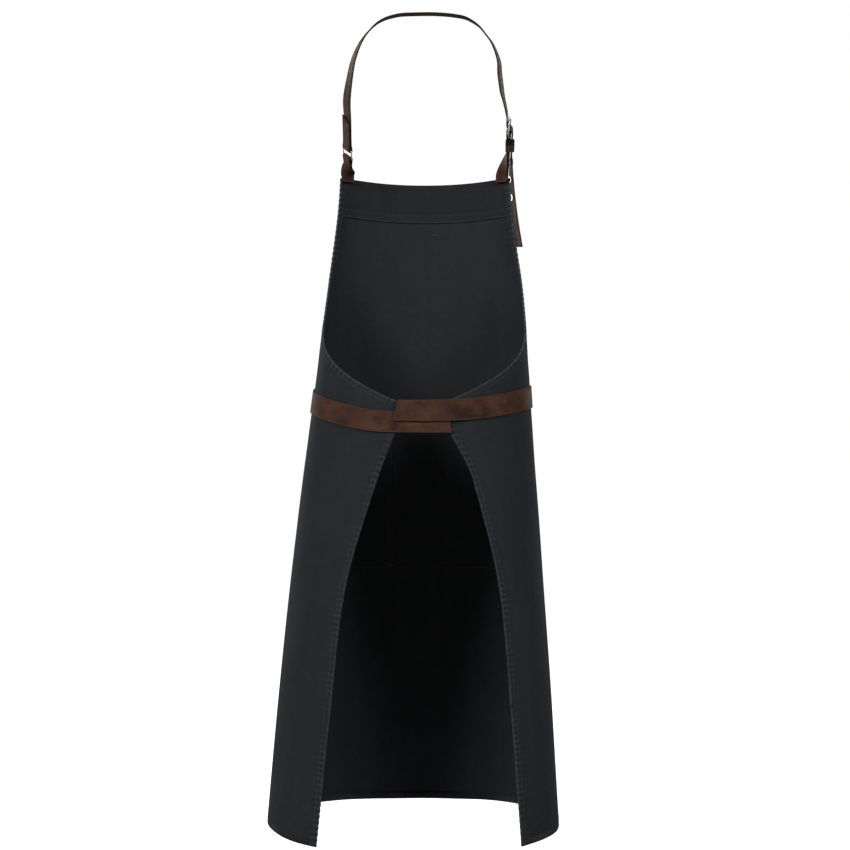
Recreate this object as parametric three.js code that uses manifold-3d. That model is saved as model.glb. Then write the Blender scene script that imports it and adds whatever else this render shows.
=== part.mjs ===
// A bib apron with leather straps, hanging as if on a body that is not there.
// Millimetres, +Z up. The bib faces -Y and the wearer's left is +X.
// The origin is the underside of the neck strap, at the nape.
import * as THREE from 'three';
import { mergeVertices } from 'three/addons/utils/BufferGeometryUtils.js';
import Module from 'manifold-3d';

const wasm = await Module();
wasm.setup();

// ---- driving dimensions ----
const GAP = 0.35; // clearance kept between neighbouring pieces

// The wearer's body: superellipse sections, narrow at the waist.
const BODY_POWER = 2.3;
const BODY_AXIS_Y = -43;
const BODY_STATIONS = [
  { z: -1220, halfWidth: 221, halfDepth: 110, shift: 17 },
  { z: -1015, halfWidth: 204.5, halfDepth: 118, shift: 14 },
  { z: -836, halfWidth: 188, halfDepth: 124, shift: 11.5 },
  { z: -656, halfWidth: 170.5, halfDepth: 110, shift: 7.5 },
  { z: -567, halfWidth: 161.5, halfDepth: 106, shift: 4.5 },
  { z: -500, halfWidth: 155.5, halfDepth: 105, shift: 2 },
  { z: -420, halfWidth: 150, halfDepth: 107, shift: 0 },
  { z: -338, halfWidth: 160, halfDepth: 112, shift: 0 },
  { z: -225, halfWidth: 170, halfDepth: 115, shift: 0 },
];

// The cloth, as it was cut: lengths down the front, half widths round the body.
const CLOTH = 1.4;
const CLOTH_LENGTH = 950;
const HALF_CLOTH = 395;
const BIB_TOP_Z = -232.5;
const BIB_HALF_TOP = 137;
const BIB_CORNER_RISE = 9;
const WAIST_DEPTH = 307; // from the top of the bib down to the waist corners
const DROOP_START = 100; // the cloth sinks from here round to its back edges
const DROOP_AT_BACK = 34;
const DRAW_START = 150; // from here round to its back edges the cloth is drawn or turned
const CORNER_DRAW = 17; // how far the waist straps draw each back corner towards the other
const SKIRT_TURN = 8.6; // how far round the skirt's back edges hang turned
const TURN_DEPTH = 420; // the skirt is drawn no more, and fully turned, from here down

const FACING = 1.2;
const FACING_DEPTH = 59;
const FACING_INSET = 1.5;

const POCKET_CLOTH = 1.2;
const POCKET_TOP = 402;
const POCKET_BOTTOM = 595;
const POCKET_HALF = 180;
const POCKET_DIVIDER = 42;
const POCKET_BULGE = 11;

// Leather and metal.
const NECK_WIDTH = 20;
const NECK_LEATHER = 2.2;
const TAB_SEWN = 7; // how far the neck tabs reach down inside the bib
const FOLD_LENGTH = 49; // neck strap turned back over the ring
const TAIL_END_DEPTH = 97; // the neck strap's free end, below the top of the bib
const TAIL_STAND_OFF = 6.5; // how far the free end hangs outside the bib
const WAIST_WIDTH = 32;
const WAIST_LEATHER = 2;
const WAIST_SEWN = 11; // how far a waist strap reaches onto the back corner
const WAIST_FOLD = 42; // waist strap turned back behind its buckle bar
const WAIST_TAIL = 128;
const CROSSING_EASE = 43; // how far in from the back edge the upper waist strap comes down
const FRONT_RAISE_START = 150;
const KEEPER_LEATHER = 1.5;
const KEEPER_EASE = 1.2; // a keeper slides, so it is loose round its straps

// Buckles: length from the hinge bar to the far rim, bar and rim sizes as half thicknesses,
// the width inside, the tongue, the strap it takes and how far up the strap its hole lies.
const NECK_BUCKLE = {
  length: 21,
  bar: 1.3,
  rimHalf: 1.1,
  rimWide: 1.7,
  inside: NECK_WIDTH + 2.4,
  tongueWidth: 2.6,
  tongueThick: 1.8,
  strap: NECK_LEATHER,
  holeAlong: 8.2,
};
const WAIST_BUCKLE = {
  length: 27,
  bar: 1.6,
  rimHalf: 1.6,
  rimWide: 2.4,
  inside: WAIST_WIDTH + 3,
  tongueWidth: 3.4,
  tongueThick: 2.2,
  strap: WAIST_LEATHER,
  holeAlong: 8.6,
};
const EYE_WALL = 1.2; // the tongue's turn round its bar
const WAIST_BUCKLE_S = -20; // the waist buckle's hinge bar, round the front from its centre
const WAIST_KEEPER_S = -98;
const RING = { wire: 0.9, spacing: 14, inside: NECK_WIDTH + 2.4 };

const NECK_EYELET = { inner: 2.8, count: 4, spacing: 29 };
const WAIST_EYELET = { inner: 3.6, count: 5, spacing: 25 };
const TONGUE_LIFT = 28; // degrees that a tongue can lift in the slot of a fastened strap
const EYELET_WALL = 0.7;
const EYELET_FLANGE = 1.5;
const EYELET_LIP = 0.5;
const EYELET_EASE = 0.65; // the strap bends a little under each flange

// Fineness of the model.
const ROUND = 14; // sides of a small round piece
const SKIRT_ROWS = 10;
const ARMHOLE_ROWS = 12;
const CLOTH_COLUMNS = 32;

// ---- materials ----
const twill = { color: 0x26282b, roughness: 0.92, metalness: 0 };
const leather = { color: 0x3d2a24, roughness: 0.62, metalness: 0 };
const steel = { color: 0xb9bbbd, roughness: 0.3, metalness: 1 };

// ---- the body and the cloth on it ----
function slopeAt(i, key) {
  const below = BODY_STATIONS[Math.max(0, i - 1)];
  const above = BODY_STATIONS[Math.min(BODY_STATIONS.length - 1, i + 1)];
  return (above[key] - below[key]) / (above.z - below.z);
}

// The body's section at a height: a smooth curve through the stations.
function stationAt(z) {
  const above = BODY_STATIONS.findIndex((station) => station.z > z);
  const i = above < 0 ? BODY_STATIONS.length - 2 : Math.max(0, above - 1);
  const low = BODY_STATIONS[i];
  const high = BODY_STATIONS[i + 1];
  const span = high.z - low.z;
  const mix = THREE.MathUtils.clamp((z - low.z) / span, 0, 1);
  const [square, cube] = [mix ** 2, mix ** 3];
  const between = (key) => (
    (2 * cube - 3 * square + 1) * low[key] + (3 * square - 2 * cube) * high[key]
    + (cube - 2 * square + mix) * span * slopeAt(i, key) + (cube - square) * span * slopeAt(i + 1, key)
  );
  return { halfWidth: between('halfWidth'), halfDepth: between('halfDepth'), shift: between('shift') };
}

// Half of a section's outline, from the front centre to the back centre, with arc lengths.
const outlines = new Map();
function halfOutline(z) {
  const key = z.toFixed(3);
  if (outlines.has(key)) return outlines.get(key);
  const { halfWidth, halfDepth, shift } = stationAt(z);
  const steps = 360;
  const root = 2 / BODY_POWER;
  const points = [];
  for (let i = 0; i <= steps; i++) {
    const angle = (Math.PI * i) / steps;
    const side = Math.abs(Math.sin(angle)) ** root;
    const front = Math.sign(Math.cos(angle)) * Math.abs(Math.cos(angle)) ** root;
    const point = { x: halfWidth * side, y: -halfDepth * front, length: 0 };
    if (i > 0) {
      const before = points[i - 1];
      point.length = before.length + Math.hypot(point.x - before.x, point.y - before.y);
    }
    points.push(point);
  }
  const outline = { points, halfWidth, halfDepth, shift, half: points[steps].length };
  outlines.set(key, outline);
  return outline;
}

// The point at arc length s from the front centre (positive to the wearer's left), at height z,
// standing a given distance outside the body.
function onBody(s, z, outside) {
  const { points, halfWidth, halfDepth, shift, half } = halfOutline(z);
  const length = Math.min(Math.abs(s), half);
  let low = 0;
  let high = points.length - 1;
  while (high - low > 1) {
    const middle = (low + high) >> 1;
    if (points[middle].length <= length) low = middle;
    else high = middle;
  }
  const a = points[low];
  const b = points[high];
  const mix = (length - a.length) / (b.length - a.length);
  const x = a.x + (b.x - a.x) * mix;
  const y = a.y + (b.y - a.y) * mix;
  const normal = outwardNormal(x / halfWidth, y / halfDepth, halfWidth, halfDepth);
  const side = s < 0 ? -1 : 1;
  return new THREE.Vector3(
    side * (x + normal.x * outside) + shift,
    y + normal.y * outside + BODY_AXIS_Y,
    z,
  );
}

function outwardNormal(x, y, halfWidth, halfDepth) {
  const nx = Math.abs(x) ** (BODY_POWER - 1) / halfWidth;
  const ny = (Math.sign(y) * Math.abs(y) ** (BODY_POWER - 1)) / halfDepth;
  return new THREE.Vector2(nx, ny).normalize();
}

function droop(s) {
  const past = Math.max(0, Math.abs(s) - DROOP_START) / (HALF_CLOTH - DROOP_START);
  return DROOP_AT_BACK * past ** 1.5;
}

// How far round the body the cloth at s hangs: its back corners are drawn together by the
// waist straps, and the skirt below them hangs turned a little.
function hungAt(s, depth) {
  const behind = ramp(Math.abs(s), DRAW_START, HALF_CLOTH);
  const below = ramp(depth, WAIST_DEPTH, TURN_DEPTH);
  return s + behind * (Math.sign(s) * CORNER_DRAW * (1 - below) + SKIRT_TURN * below);
}

// A point of the cloth: s round the body, depth down from the top of the bib.
function onCloth(s, depth, outside) {
  return onBody(hungAt(s, depth), BIB_TOP_Z - depth - droop(s), outside);
}

// The cut edge of the bib and armhole: x is half the cloth's width, y the depth.
const armhole = new THREE.CubicBezierCurve(
  new THREE.Vector2(BIB_HALF_TOP, -BIB_CORNER_RISE),
  new THREE.Vector2(BIB_HALF_TOP + 10, WAIST_DEPTH * 0.49),
  new THREE.Vector2(BIB_HALF_TOP + 68, WAIST_DEPTH * 0.88),
  new THREE.Vector2(HALF_CLOTH, WAIST_DEPTH),
);

function halfWidthAt(depth) {
  let low = 0;
  let high = 1;
  for (let i = 0; i < 30; i++) {
    const middle = (low + high) / 2;
    if (armhole.getPoint(middle).y < depth) low = middle;
    else high = middle;
  }
  return armhole.getPoint(low).x;
}

// ---- builders of closed bodies ----
function closedGeometry(vertices, triangles) {
  const geometry = new THREE.BufferGeometry();
  const numbers = vertices.flatMap((vertex) => vertex.toArray());
  geometry.setAttribute('position', new THREE.Float32BufferAttribute(numbers, 3));
  geometry.setIndex(triangles);
  return geometry;
}

// A sheet with thickness: place(i, j, side) gives the grid point on its outer (+1) or inner (-1) skin.
function sheetBody(rows, columns, place) {
  const vertices = [];
  for (const side of [1, -1]) {
    for (let i = 0; i <= rows; i++) {
      for (let j = 0; j <= columns; j++) vertices.push(place(i, j, side));
    }
  }
  const outer = (i, j) => i * (columns + 1) + j;
  const inner = (i, j) => (rows + 1) * (columns + 1) + outer(i, j);
  const triangles = [];
  const quad = (a, b, c, d) => triangles.push(a, b, c, a, c, d);
  for (let i = 0; i < rows; i++) {
    for (let j = 0; j < columns; j++) {
      quad(outer(i, j), outer(i + 1, j), outer(i + 1, j + 1), outer(i, j + 1));
      quad(inner(i, j), inner(i, j + 1), inner(i + 1, j + 1), inner(i + 1, j));
    }
  }
  for (let i = 0; i < rows; i++) {
    quad(outer(i, 0), inner(i, 0), inner(i + 1, 0), outer(i + 1, 0));
    quad(outer(i, columns), outer(i + 1, columns), inner(i + 1, columns), inner(i, columns));
  }
  for (let j = 0; j < columns; j++) {
    quad(outer(0, j), outer(0, j + 1), inner(0, j + 1), inner(0, j));
    quad(outer(rows, j), inner(rows, j), inner(rows, j + 1), outer(rows, j + 1));
  }
  return closedGeometry(vertices, triangles);
}

// A strap of constant thickness through stations with two edge points and a face direction.
function strapBody(stations, thickness) {
  const place = (i, j, side) => {
    const station = stations[i];
    const edge = j === 0 ? station.edgeA : station.edgeB;
    return edge.clone().addScaledVector(station.face, (side * thickness) / 2);
  };
  return faceOutward(sheetBody(stations.length - 1, 1, place));
}

function signedVolume(geometry) {
  const position = geometry.getAttribute('position');
  const index = geometry.getIndex();
  const corner = [0, 1, 2].map(() => new THREE.Vector3());
  let volume = 0;
  for (let i = 0; i < index.count; i += 3) {
    corner.forEach((point, k) => point.fromBufferAttribute(position, index.getX(i + k)));
    volume += corner[0].dot(corner[1].clone().cross(corner[2])) / 6;
  }
  return volume;
}

function faceOutward(geometry) {
  if (signedVolume(geometry) < 0) {
    geometry.setIndex([...geometry.getIndex().array].reverse());
  }
  return geometry;
}

function toSolid(geometry) {
  const plain = geometry.clone();
  for (const name of Object.keys(plain.attributes)) {
    if (name !== 'position') plain.deleteAttribute(name);
  }
  const merged = mergeVertices(plain, 1e-4);
  return new wasm.Manifold(new wasm.Mesh({
    numProp: 3,
    vertProperties: new Float32Array(merged.getAttribute('position').array),
    triVerts: new Uint32Array(merged.getIndex().array),
  }));
}

function fromSolid(solid) {
  const mesh = solid.getMesh();
  const geometry = new THREE.BufferGeometry();
  geometry.setAttribute('position', new THREE.BufferAttribute(mesh.vertProperties, 3));
  geometry.setIndex([...mesh.triVerts]);
  return geometry;
}

function cutAway(geometry, cutters) {
  let solid = toSolid(geometry);
  for (const cutter of cutters) solid = solid.subtract(toSolid(cutter));
  return fromSolid(solid);
}

// ---- seats: where a flat fitting sits ----
// up runs along the strap, across it lies the bar, and out leaves its face.
class Seat {
  constructor(origin, up, across, out) {
    this.origin = origin;
    this.up = up;
    this.across = across;
    this.out = out;
    this.matrix = new THREE.Matrix4().makeBasis(across, up, out).setPosition(origin);
    if (this.matrix.determinant() < 0) {
      this.matrix.makeBasis(across.clone().negate(), up, out).setPosition(origin);
    }
  }

  at(along, out) {
    return this.origin.clone().addScaledVector(this.up, along).addScaledVector(this.out, out);
  }
}

// A seat on one side of the neck: leaning back as it rises, and twisted about its own length.
function neckSeat(side, origin, leanDegrees, twistDegrees) {
  const lean = THREE.MathUtils.degToRad(leanDegrees);
  const twist = THREE.MathUtils.degToRad(twistDegrees);
  const up = new THREE.Vector3(0, Math.sin(lean), Math.cos(lean));
  const across = new THREE.Vector3(
    -side * Math.sin(twist),
    Math.cos(lean) * Math.cos(twist),
    -Math.sin(lean) * Math.cos(twist),
  );
  const out = across.clone().cross(up).multiplyScalar(side);
  return new Seat(origin, up, across, out);
}

const ringSeat = neckSeat(1, new THREE.Vector3(118, -101, -189.6), 33, 32);
const buckleSeat = neckSeat(-1, new THREE.Vector3(-127, -87, -161), 33, 3);

// A turn of leather round a bar: from the outer layer, under the bar and back up the inner one.
// Directions are along the strap (pointing away from the bar) and out of its face.
function turnRound(barRadius, leatherThick, layerHalf, reach) {
  const radius = barRadius + GAP + leatherThick / 2;
  const easeEnd = radius * 4;
  const outer = [[reach, layerHalf], [easeEnd, layerHalf], [radius * 1.6, radius * 0.86]];
  const turn = [];
  for (let degrees = 90; degrees >= -90; degrees -= 22.5) {
    const angle = THREE.MathUtils.degToRad(degrees);
    turn.push([-radius * Math.cos(angle), radius * Math.sin(angle)]);
  }
  const inner = [[radius * 1.6, -radius * 0.86], [easeEnd, -layerHalf]];
  return [...outer, ...turn, ...inner];
}

// ---- straps round the neck ----
const layerHalf = (NECK_LEATHER + GAP) / 2;
const flangeOut = EYELET_EASE + EYELET_LIP; // how far an eyelet stands out of its strap
const tailOut = layerHalf + NECK_LEATHER + flangeOut + GAP; // the tail, in its keeper

// Stations from a smooth curve through control points, each with a twist in degrees.
function twistedStations(controls, width, perSpan) {
  const curve = new THREE.CatmullRomCurve3(controls.map((control) => control.point), false, 'centripetal');
  const spans = controls.length - 1;
  const stations = [];
  for (let i = 0; i < spans; i++) {
    const steps = perSpan(controls[i], controls[i + 1]);
    for (let k = 0; k < steps; k++) stations.push(stationOn(curve, controls, i + k / steps, width));
  }
  stations.push(stationOn(curve, controls, spans, width));
  return stations;
}

function stationOn(curve, controls, position, width) {
  const spans = controls.length - 1;
  const along = curve.getPoint(position / spans);
  const direction = curve.getTangent(position / spans);
  const low = Math.min(Math.floor(position), spans - 1);
  const mix = position - low;
  const across = controls[low].across.clone().lerp(controls[low + 1].across, mix);
  across.addScaledVector(direction, -across.dot(direction)).normalize();
  const face = across.clone().cross(direction).normalize();
  return {
    edgeA: along.clone().addScaledVector(across, -width / 2),
    edgeB: along.clone().addScaledVector(across, width / 2),
    face,
    direction,
  };
}

// Cuts a strap's last station on the slant: its two edges end apart along the strap.
function slantEnd(station, slant) {
  station.edgeA.addScaledVector(station.direction, -slant / 2);
  station.edgeB.addScaledVector(station.direction, slant / 2);
}

function worn(x, y, z, twistDegrees) {
  const twist = THREE.MathUtils.degToRad(twistDegrees);
  const across = new THREE.Vector3(-Math.sign(x) * Math.sin(twist), Math.cos(twist), 0);
  return { point: new THREE.Vector3(x, y, z), across };
}

function seated(seat, along, out) {
  return { point: seat.at(along, out), across: seat.across };
}

// A strap passing through its buckle, from the far side of the frame to its tail: behind the
// far rim, up through the frame in an S round the tongue's hole, and over the hinge bar.
// Pairs of distance from the hinge bar and distance out of the frame's plane.
function throughBuckle(buckle) {
  const under = -(buckle.rimHalf + 2 * GAP + buckle.strap / 2);
  const over = buckle.bar + 3 * GAP + 1.5 * buckle.strap;
  const hole = buckle.holeAlong;
  const centre = tongueHeight(buckle);
  return [
    [buckle.length + 7, under],
    [buckle.length, under],
    [hole + 5.6, under + 0.25],
    [hole + 3.4, centre - 3.1],
    [hole, centre],
    [hole - 2.6, centre + 2.3],
    [hole - 5.2, over - 0.25],
    [0, over],
    [-6, over - 0.15],
  ];
}

function tongueHeight(buckle) {
  return buckle.rimHalf + GAP + buckle.tongueThick / 2;
}

// The strap's left end lies outside, turns round the ring's upper bar and comes back inside.
function ringEndControls() {
  const bar = RING.spacing / 2;
  return turnRound(RING.wire, NECK_LEATHER, layerHalf, FOLD_LENGTH)
    .map(([along, out]) => seated(ringSeat, bar + along, out));
}

// Below its keeper the free end hangs down outside the edge of the bib.
function tailControls() {
  const beside = (depth, twistDegrees) => {
    const edge = onCloth(-(halfWidthAt(depth) - 2), depth, TAIL_STAND_OFF);
    return worn(edge.x, edge.y, edge.z, twistDegrees);
  };
  return [
    seated(buckleSeat, -14, tailOut),
    seated(buckleSeat, -30, tailOut),
    beside(-4, -16),
    beside(TAIL_END_DEPTH / 2, -24),
    beside(TAIL_END_DEPTH, -26),
  ];
}

// Over the wearer's shoulders, from the ring on the left to the buckle on the right.
const roundTheNeck = [
  worn(117.5, -58, -119, 30),
  worn(113.6, -41, -93.5, 26),
  worn(105, -24, -58, 20),
  worn(90, -12, -30, 14),
  worn(67, -4, -9, 8),
  worn(41, -1, -0.5, 4),
  worn(15, 0, NECK_LEATHER / 2, 0),
  worn(-18, 0, NECK_LEATHER / 2, 0),
  worn(-44, -2, -0.8, 3),
  worn(-61, -5, -4, 6),
  worn(-79, -10, -14, 9),
  worn(-89, -14, -24.5, 10),
  worn(-100, -21, -38.5, 12),
  worn(-110, -33, -60.5, 12),
  worn(-113.5, -44, -80, 12),
  worn(-118, -56, -101, 9),
  worn(-121, -63, -113, 6),
];

function neckStrapStations() {
  const start = ringEndControls();
  const fold = seated(ringSeat, RING.spacing / 2 + FOLD_LENGTH + 2, -layerHalf);
  const through = throughBuckle(NECK_BUCKLE).map(([along, out]) => seated(buckleSeat, along, out));
  const controls = [...start, fold, ...roundTheNeck, ...through, ...tailControls()];
  const steps = (a, b) => Math.max(1, Math.round(a.point.distanceTo(b.point) / 14));
  const stations = twistedStations(controls, NECK_WIDTH, steps);
  slantEnd(stations[0], 9);
  slantEnd(stations[stations.length - 1], 7);
  return stations;
}

// Distances along the strap, to place its eyelets.
function distances(stations) {
  const result = [0];
  for (let i = 1; i < stations.length; i++) {
    const here = middleOf(stations[i]);
    result.push(result[i - 1] + here.distanceTo(middleOf(stations[i - 1])));
  }
  return result;
}

function middleOf(station) {
  return station.edgeA.clone().lerp(station.edgeB, 0.5);
}

// Places for a row of eyelets down the tail, spaced from where the tongue passes.
function holePlaces(stations, first, spacing, count) {
  const reach = distances(stations);
  const nearest = stations.map(middleOf).reduce(
    (best, point, i) => (point.distanceTo(first) < best.gap ? { gap: point.distanceTo(first), i } : best),
    { gap: Infinity, i: 0 },
  );
  const places = [];
  for (let k = 1; k <= count; k++) {
    const target = reach[nearest.i] + k * spacing;
    const i = reach.findIndex((value, index) => index > 0 && value >= target);
    const mix = (target - reach[i - 1]) / (reach[i] - reach[i - 1]);
    const face = stations[i].face.clone().add(stations[i - 1].face).normalize();
    places.push({ centre: middleOf(stations[i - 1]).lerp(middleOf(stations[i]), mix), face });
  }
  return places;
}

function alongAxis(geometry, centre, axis) {
  const turn = new THREE.Quaternion().setFromUnitVectors(new THREE.Vector3(0, 1, 0), axis);
  return geometry.applyMatrix4(new THREE.Matrix4().compose(centre, turn, new THREE.Vector3(1, 1, 1)));
}

function roundHole(place, radius, thickness) {
  const cutter = new THREE.CylinderGeometry(radius, radius, thickness * 3, ROUND);
  return alongAxis(cutter, place.centre, place.face);
}

function eyeletBody(place, eyelet, thickness) {
  const outer = eyelet.inner + EYELET_WALL;
  const flange = outer + EYELET_FLANGE;
  const lip = thickness / 2 + EYELET_EASE;
  const half = lip + EYELET_LIP;
  const profile = [
    [eyelet.inner, -half], [flange, -half], [flange, -lip], [outer, -lip],
    [outer, lip], [flange, lip], [flange, half], [eyelet.inner, half], [eyelet.inner, -half],
  ].map(([radius, height]) => new THREE.Vector2(radius, height));
  return alongAxis(faceOutward(weld(new THREE.LatheGeometry(profile, ROUND))), place.centre, place.face);
}

function weld(geometry) {
  geometry.deleteAttribute('normal');
  geometry.deleteAttribute('uv');
  return mergeVertices(geometry, 1e-4);
}

// ---- hardware ----
// A closed loop of wire or bar: a rounded rectangle swept by an oval section.
function loopBody(insideWidth, barA, barB, halfThick, halfWide, cornerRadius) {
  const halfX = insideWidth / 2 + halfWide;
  const centres = [[halfX, barB], [-halfX, barB], [-halfX, barA], [halfX, barA]];
  const path = [];
  centres.forEach(([x, y], corner) => {
    const cx = x - Math.sign(x) * cornerRadius;
    const cy = y - Math.sign(y - (barA + barB) / 2) * cornerRadius;
    for (let k = 0; k <= 3; k++) {
      const angle = (corner + k / 3) * (Math.PI / 2);
      path.push({
        centre: new THREE.Vector3(cx + cornerRadius * Math.cos(angle), cy + cornerRadius * Math.sin(angle), 0),
        outward: new THREE.Vector3(Math.cos(angle), Math.sin(angle), 0),
      });
    }
  });
  return sweptRing(path, halfWide, halfThick, 8);
}

function sweptRing(path, halfWide, halfThick, sides) {
  const vertices = [];
  for (const { centre, outward } of path) {
    for (let k = 0; k < sides; k++) {
      const angle = (2 * Math.PI * (k + 0.5)) / sides;
      const point = centre.clone().addScaledVector(outward, halfWide * Math.cos(angle));
      point.z += halfThick * Math.sin(angle);
      vertices.push(point);
    }
  }
  const triangles = [];
  path.forEach((_, i) => {
    const next = (i + 1) % path.length;
    for (let k = 0; k < sides; k++) {
      const m = (k + 1) % sides;
      const [a, b] = [i * sides + k, next * sides + k];
      const [c, d] = [next * sides + m, i * sides + m];
      triangles.push(a, b, c, a, c, d);
    }
  });
  return faceOutward(closedGeometry(vertices, triangles));
}

// Buckle frame: an oval rim on three sides, and the same rim thinned to a round hinge bar.
function buckleFrame(buckle) {
  const rim = toSolid(loopBody(buckle.inside, 0, buckle.length, buckle.rimHalf, buckle.rimWide, 3));
  const hinge = new THREE.BoxGeometry(buckle.inside, buckle.rimWide * 4, buckle.rimHalf * 4);
  const bar = new THREE.CylinderGeometry(buckle.bar, buckle.bar, buckle.inside + buckle.rimWide, 16);
  bar.rotateZ(Math.PI / 2);
  return fromSolid(rim.subtract(toSolid(hinge)).add(toSolid(bar)));
}

// The tongue: a turn round the hinge bar and a shank that rests on the far rim.
function buckleTongue(buckle) {
  const inner = buckle.bar + GAP;
  const outer = inner + EYE_WALL;
  const centre = tongueHeight(buckle);
  const half = buckle.tongueThick / 2;
  const neck = 2 * EYE_WALL;
  const tip = buckle.length + buckle.rimWide;
  const sunk = 0.05; // the shank starts inside the eye's wall
  const shank = new THREE.Shape();
  shank.moveTo(0, inner + sunk);
  shank.lineTo(neck, centre - half);
  shank.lineTo(tip - 0.4, centre - half);
  shank.quadraticCurveTo(tip + 1, centre, tip, centre + half);
  shank.lineTo(neck, centre + half);
  shank.lineTo(0, outer - sunk);
  const width = buckle.tongueWidth;
  const bend = { depth: width, bevelEnabled: false, curveSegments: 6 };
  const shankSolid = toSolid(weld(new THREE.ExtrudeGeometry(shank, bend)));
  const eye = new THREE.Shape().absarc(0, 0, outer, 0, 2 * Math.PI, false);
  eye.holes.push(new THREE.Path().absarc(0, 0, inner, 0, 2 * Math.PI, true));
  const eyeSolid = toSolid(weld(new THREE.ExtrudeGeometry(eye, { ...bend, curveSegments: 12 })));
  return acrossStrap(fromSolid(shankSolid.add(eyeSolid)), width);
}

// What the tongue's shank sweeps as it lifts, with clearance: the slot it needs in a strap.
function tongueSlot(buckle) {
  const ease = 0.6;
  const reach = buckle.holeAlong + 7;
  const low = tongueHeight(buckle) - buckle.tongueThick / 2 - ease;
  const high = tongueHeight(buckle) + buckle.tongueThick / 2 + ease;
  const origin = new THREE.Vector2(0, 0);
  const lift = THREE.MathUtils.degToRad(TONGUE_LIFT + 1);
  const lifted = (along, out, share) => new THREE.Vector2(along, out).rotateAround(origin, lift * share);
  const outline = [new THREE.Vector2(0, low), new THREE.Vector2(reach, low)];
  for (let k = 1; k <= 4; k++) outline.push(lifted(reach, high, k / 4));
  outline.push(lifted(0, high, 1));
  const width = buckle.tongueWidth + 2 * ease;
  const options = { depth: width, bevelEnabled: false };
  const slot = weld(new THREE.ExtrudeGeometry(new THREE.Shape(outline), options));
  return acrossStrap(slot, width);
}

// Turns a profile drawn in (along, out) and extruded by a width to lie across its seat.
function acrossStrap(geometry, width) {
  geometry.translate(0, 0, -width / 2);
  geometry.applyMatrix4(new THREE.Matrix4().set(0, 0, 1, 0, 1, 0, 0, 0, 0, 1, 0, 0, 0, 0, 0, 1));
  return faceOutward(geometry);
}

// A leather loop round everything between two heights out of the strap's face.
function keeperBody(strapWidth, low, high, length) {
  const halfX = strapWidth / 2 + 0.9;
  const box = (shape, margin, radius) => {
    const x = halfX + margin;
    shape.moveTo(-x + radius, low - margin);
    shape.lineTo(x - radius, low - margin);
    shape.absarc(x - radius, low - margin + radius, radius, -Math.PI / 2, 0, false);
    shape.lineTo(x, high + margin - radius);
    shape.absarc(x - radius, high + margin - radius, radius, 0, Math.PI / 2, false);
    shape.lineTo(-x + radius, high + margin);
    shape.absarc(-x + radius, high + margin - radius, radius, Math.PI / 2, Math.PI, false);
    shape.lineTo(-x, low - margin + radius);
    shape.absarc(-x + radius, low - margin + radius, radius, Math.PI, 1.5 * Math.PI, false);
    return shape;
  };
  const outline = box(new THREE.Shape(), KEEPER_LEATHER, 1.8);
  outline.holes.push(box(new THREE.Path(), 0, 0.6));
  const options = { depth: length, bevelEnabled: false, curveSegments: 3 };
  const keeper = weld(new THREE.ExtrudeGeometry(outline, options));
  keeper.translate(0, 0, -length / 2);
  // The outline lies in (across, out); the loop's length runs along the strap.
  keeper.applyMatrix4(new THREE.Matrix4().set(1, 0, 0, 0, 0, 0, 1, 0, 0, 1, 0, 0, 0, 0, 0, 1));
  return faceOutward(keeper);
}

function placeOn(seat, geometry) {
  return faceOutward(geometry.applyMatrix4(seat.matrix));
}

// The neck keeper holds the turned-back tab and the tail, below the buckle.
function neckKeeper() {
  const low = -(layerHalf + NECK_LEATHER / 2 + 0.5);
  const high = tailOut + NECK_LEATHER / 2 + flangeOut + GAP;
  return placeOn(buckleSeat, keeperBody(NECK_WIDTH, low, high, 11).translate(0, -21, 0));
}

// ---- neck tabs ----
// Doubled leather from the inside of the bib corner, round a bar and back to the bib.
function tabStations(side, seat, barAlong, barRadius, straight) {
  const outside = -(CLOTH / 2 + GAP + FACING + 3 * GAP + NECK_LEATHER / 2);
  const s = side * (BIB_HALF_TOP - NECK_WIDTH / 2 - 1);
  const low = -BIB_CORNER_RISE + TAB_SEWN;
  const level = onBody(s + side * 5, BIB_TOP_Z, 0).sub(onBody(s - side * 5, BIB_TOP_Z, 0)).normalize();
  const acrossBib = level.multiplyScalar(Math.sign(level.dot(seat.across)) || 1);
  const onBib = (depth, layer) => ({
    point: onCloth(s, depth, outside - layer * (NECK_LEATHER + GAP)),
    across: acrossBib,
  });
  const loop = turnRound(barRadius, NECK_LEATHER, layerHalf, straight)
    .concat([[straight, -layerHalf]])
    .map(([along, out]) => seated(seat, barAlong - along, out));
  const outerLayer = [onBib(low, 0), onBib(-BIB_CORNER_RISE - 3, 0)];
  const innerLayer = [onBib(-BIB_CORNER_RISE - 3, 1), onBib(low, 1)];
  const controls = [...outerLayer, ...loop, ...innerLayer];
  const steps = (a, b) => Math.max(1, Math.round(a.point.distanceTo(b.point) / 12));
  return twistedStations(controls, NECK_WIDTH, steps);
}

function neckTabLeft() {
  return strapBody(tabStations(1, ringSeat, -RING.spacing / 2, RING.wire, 14), NECK_LEATHER);
}

function neckTabRight() {
  const stations = tabStations(-1, buckleSeat, 0, NECK_BUCKLE.bar, 34);
  return cutAway(strapBody(stations, NECK_LEATHER), [placeOn(buckleSeat, turnSlot(NECK_BUCKLE))]);
}

// The slot in a turn of leather where the tongue's eye goes round the bar.
function turnSlot(buckle) {
  const behind = 5;
  const beyond = 7.2;
  const slot = new THREE.BoxGeometry(buckle.tongueWidth + 2 * GAP + 0.4, behind + beyond, 15);
  slot.translate(0, (beyond - behind) / 2, 0);
  return slot;
}

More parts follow.
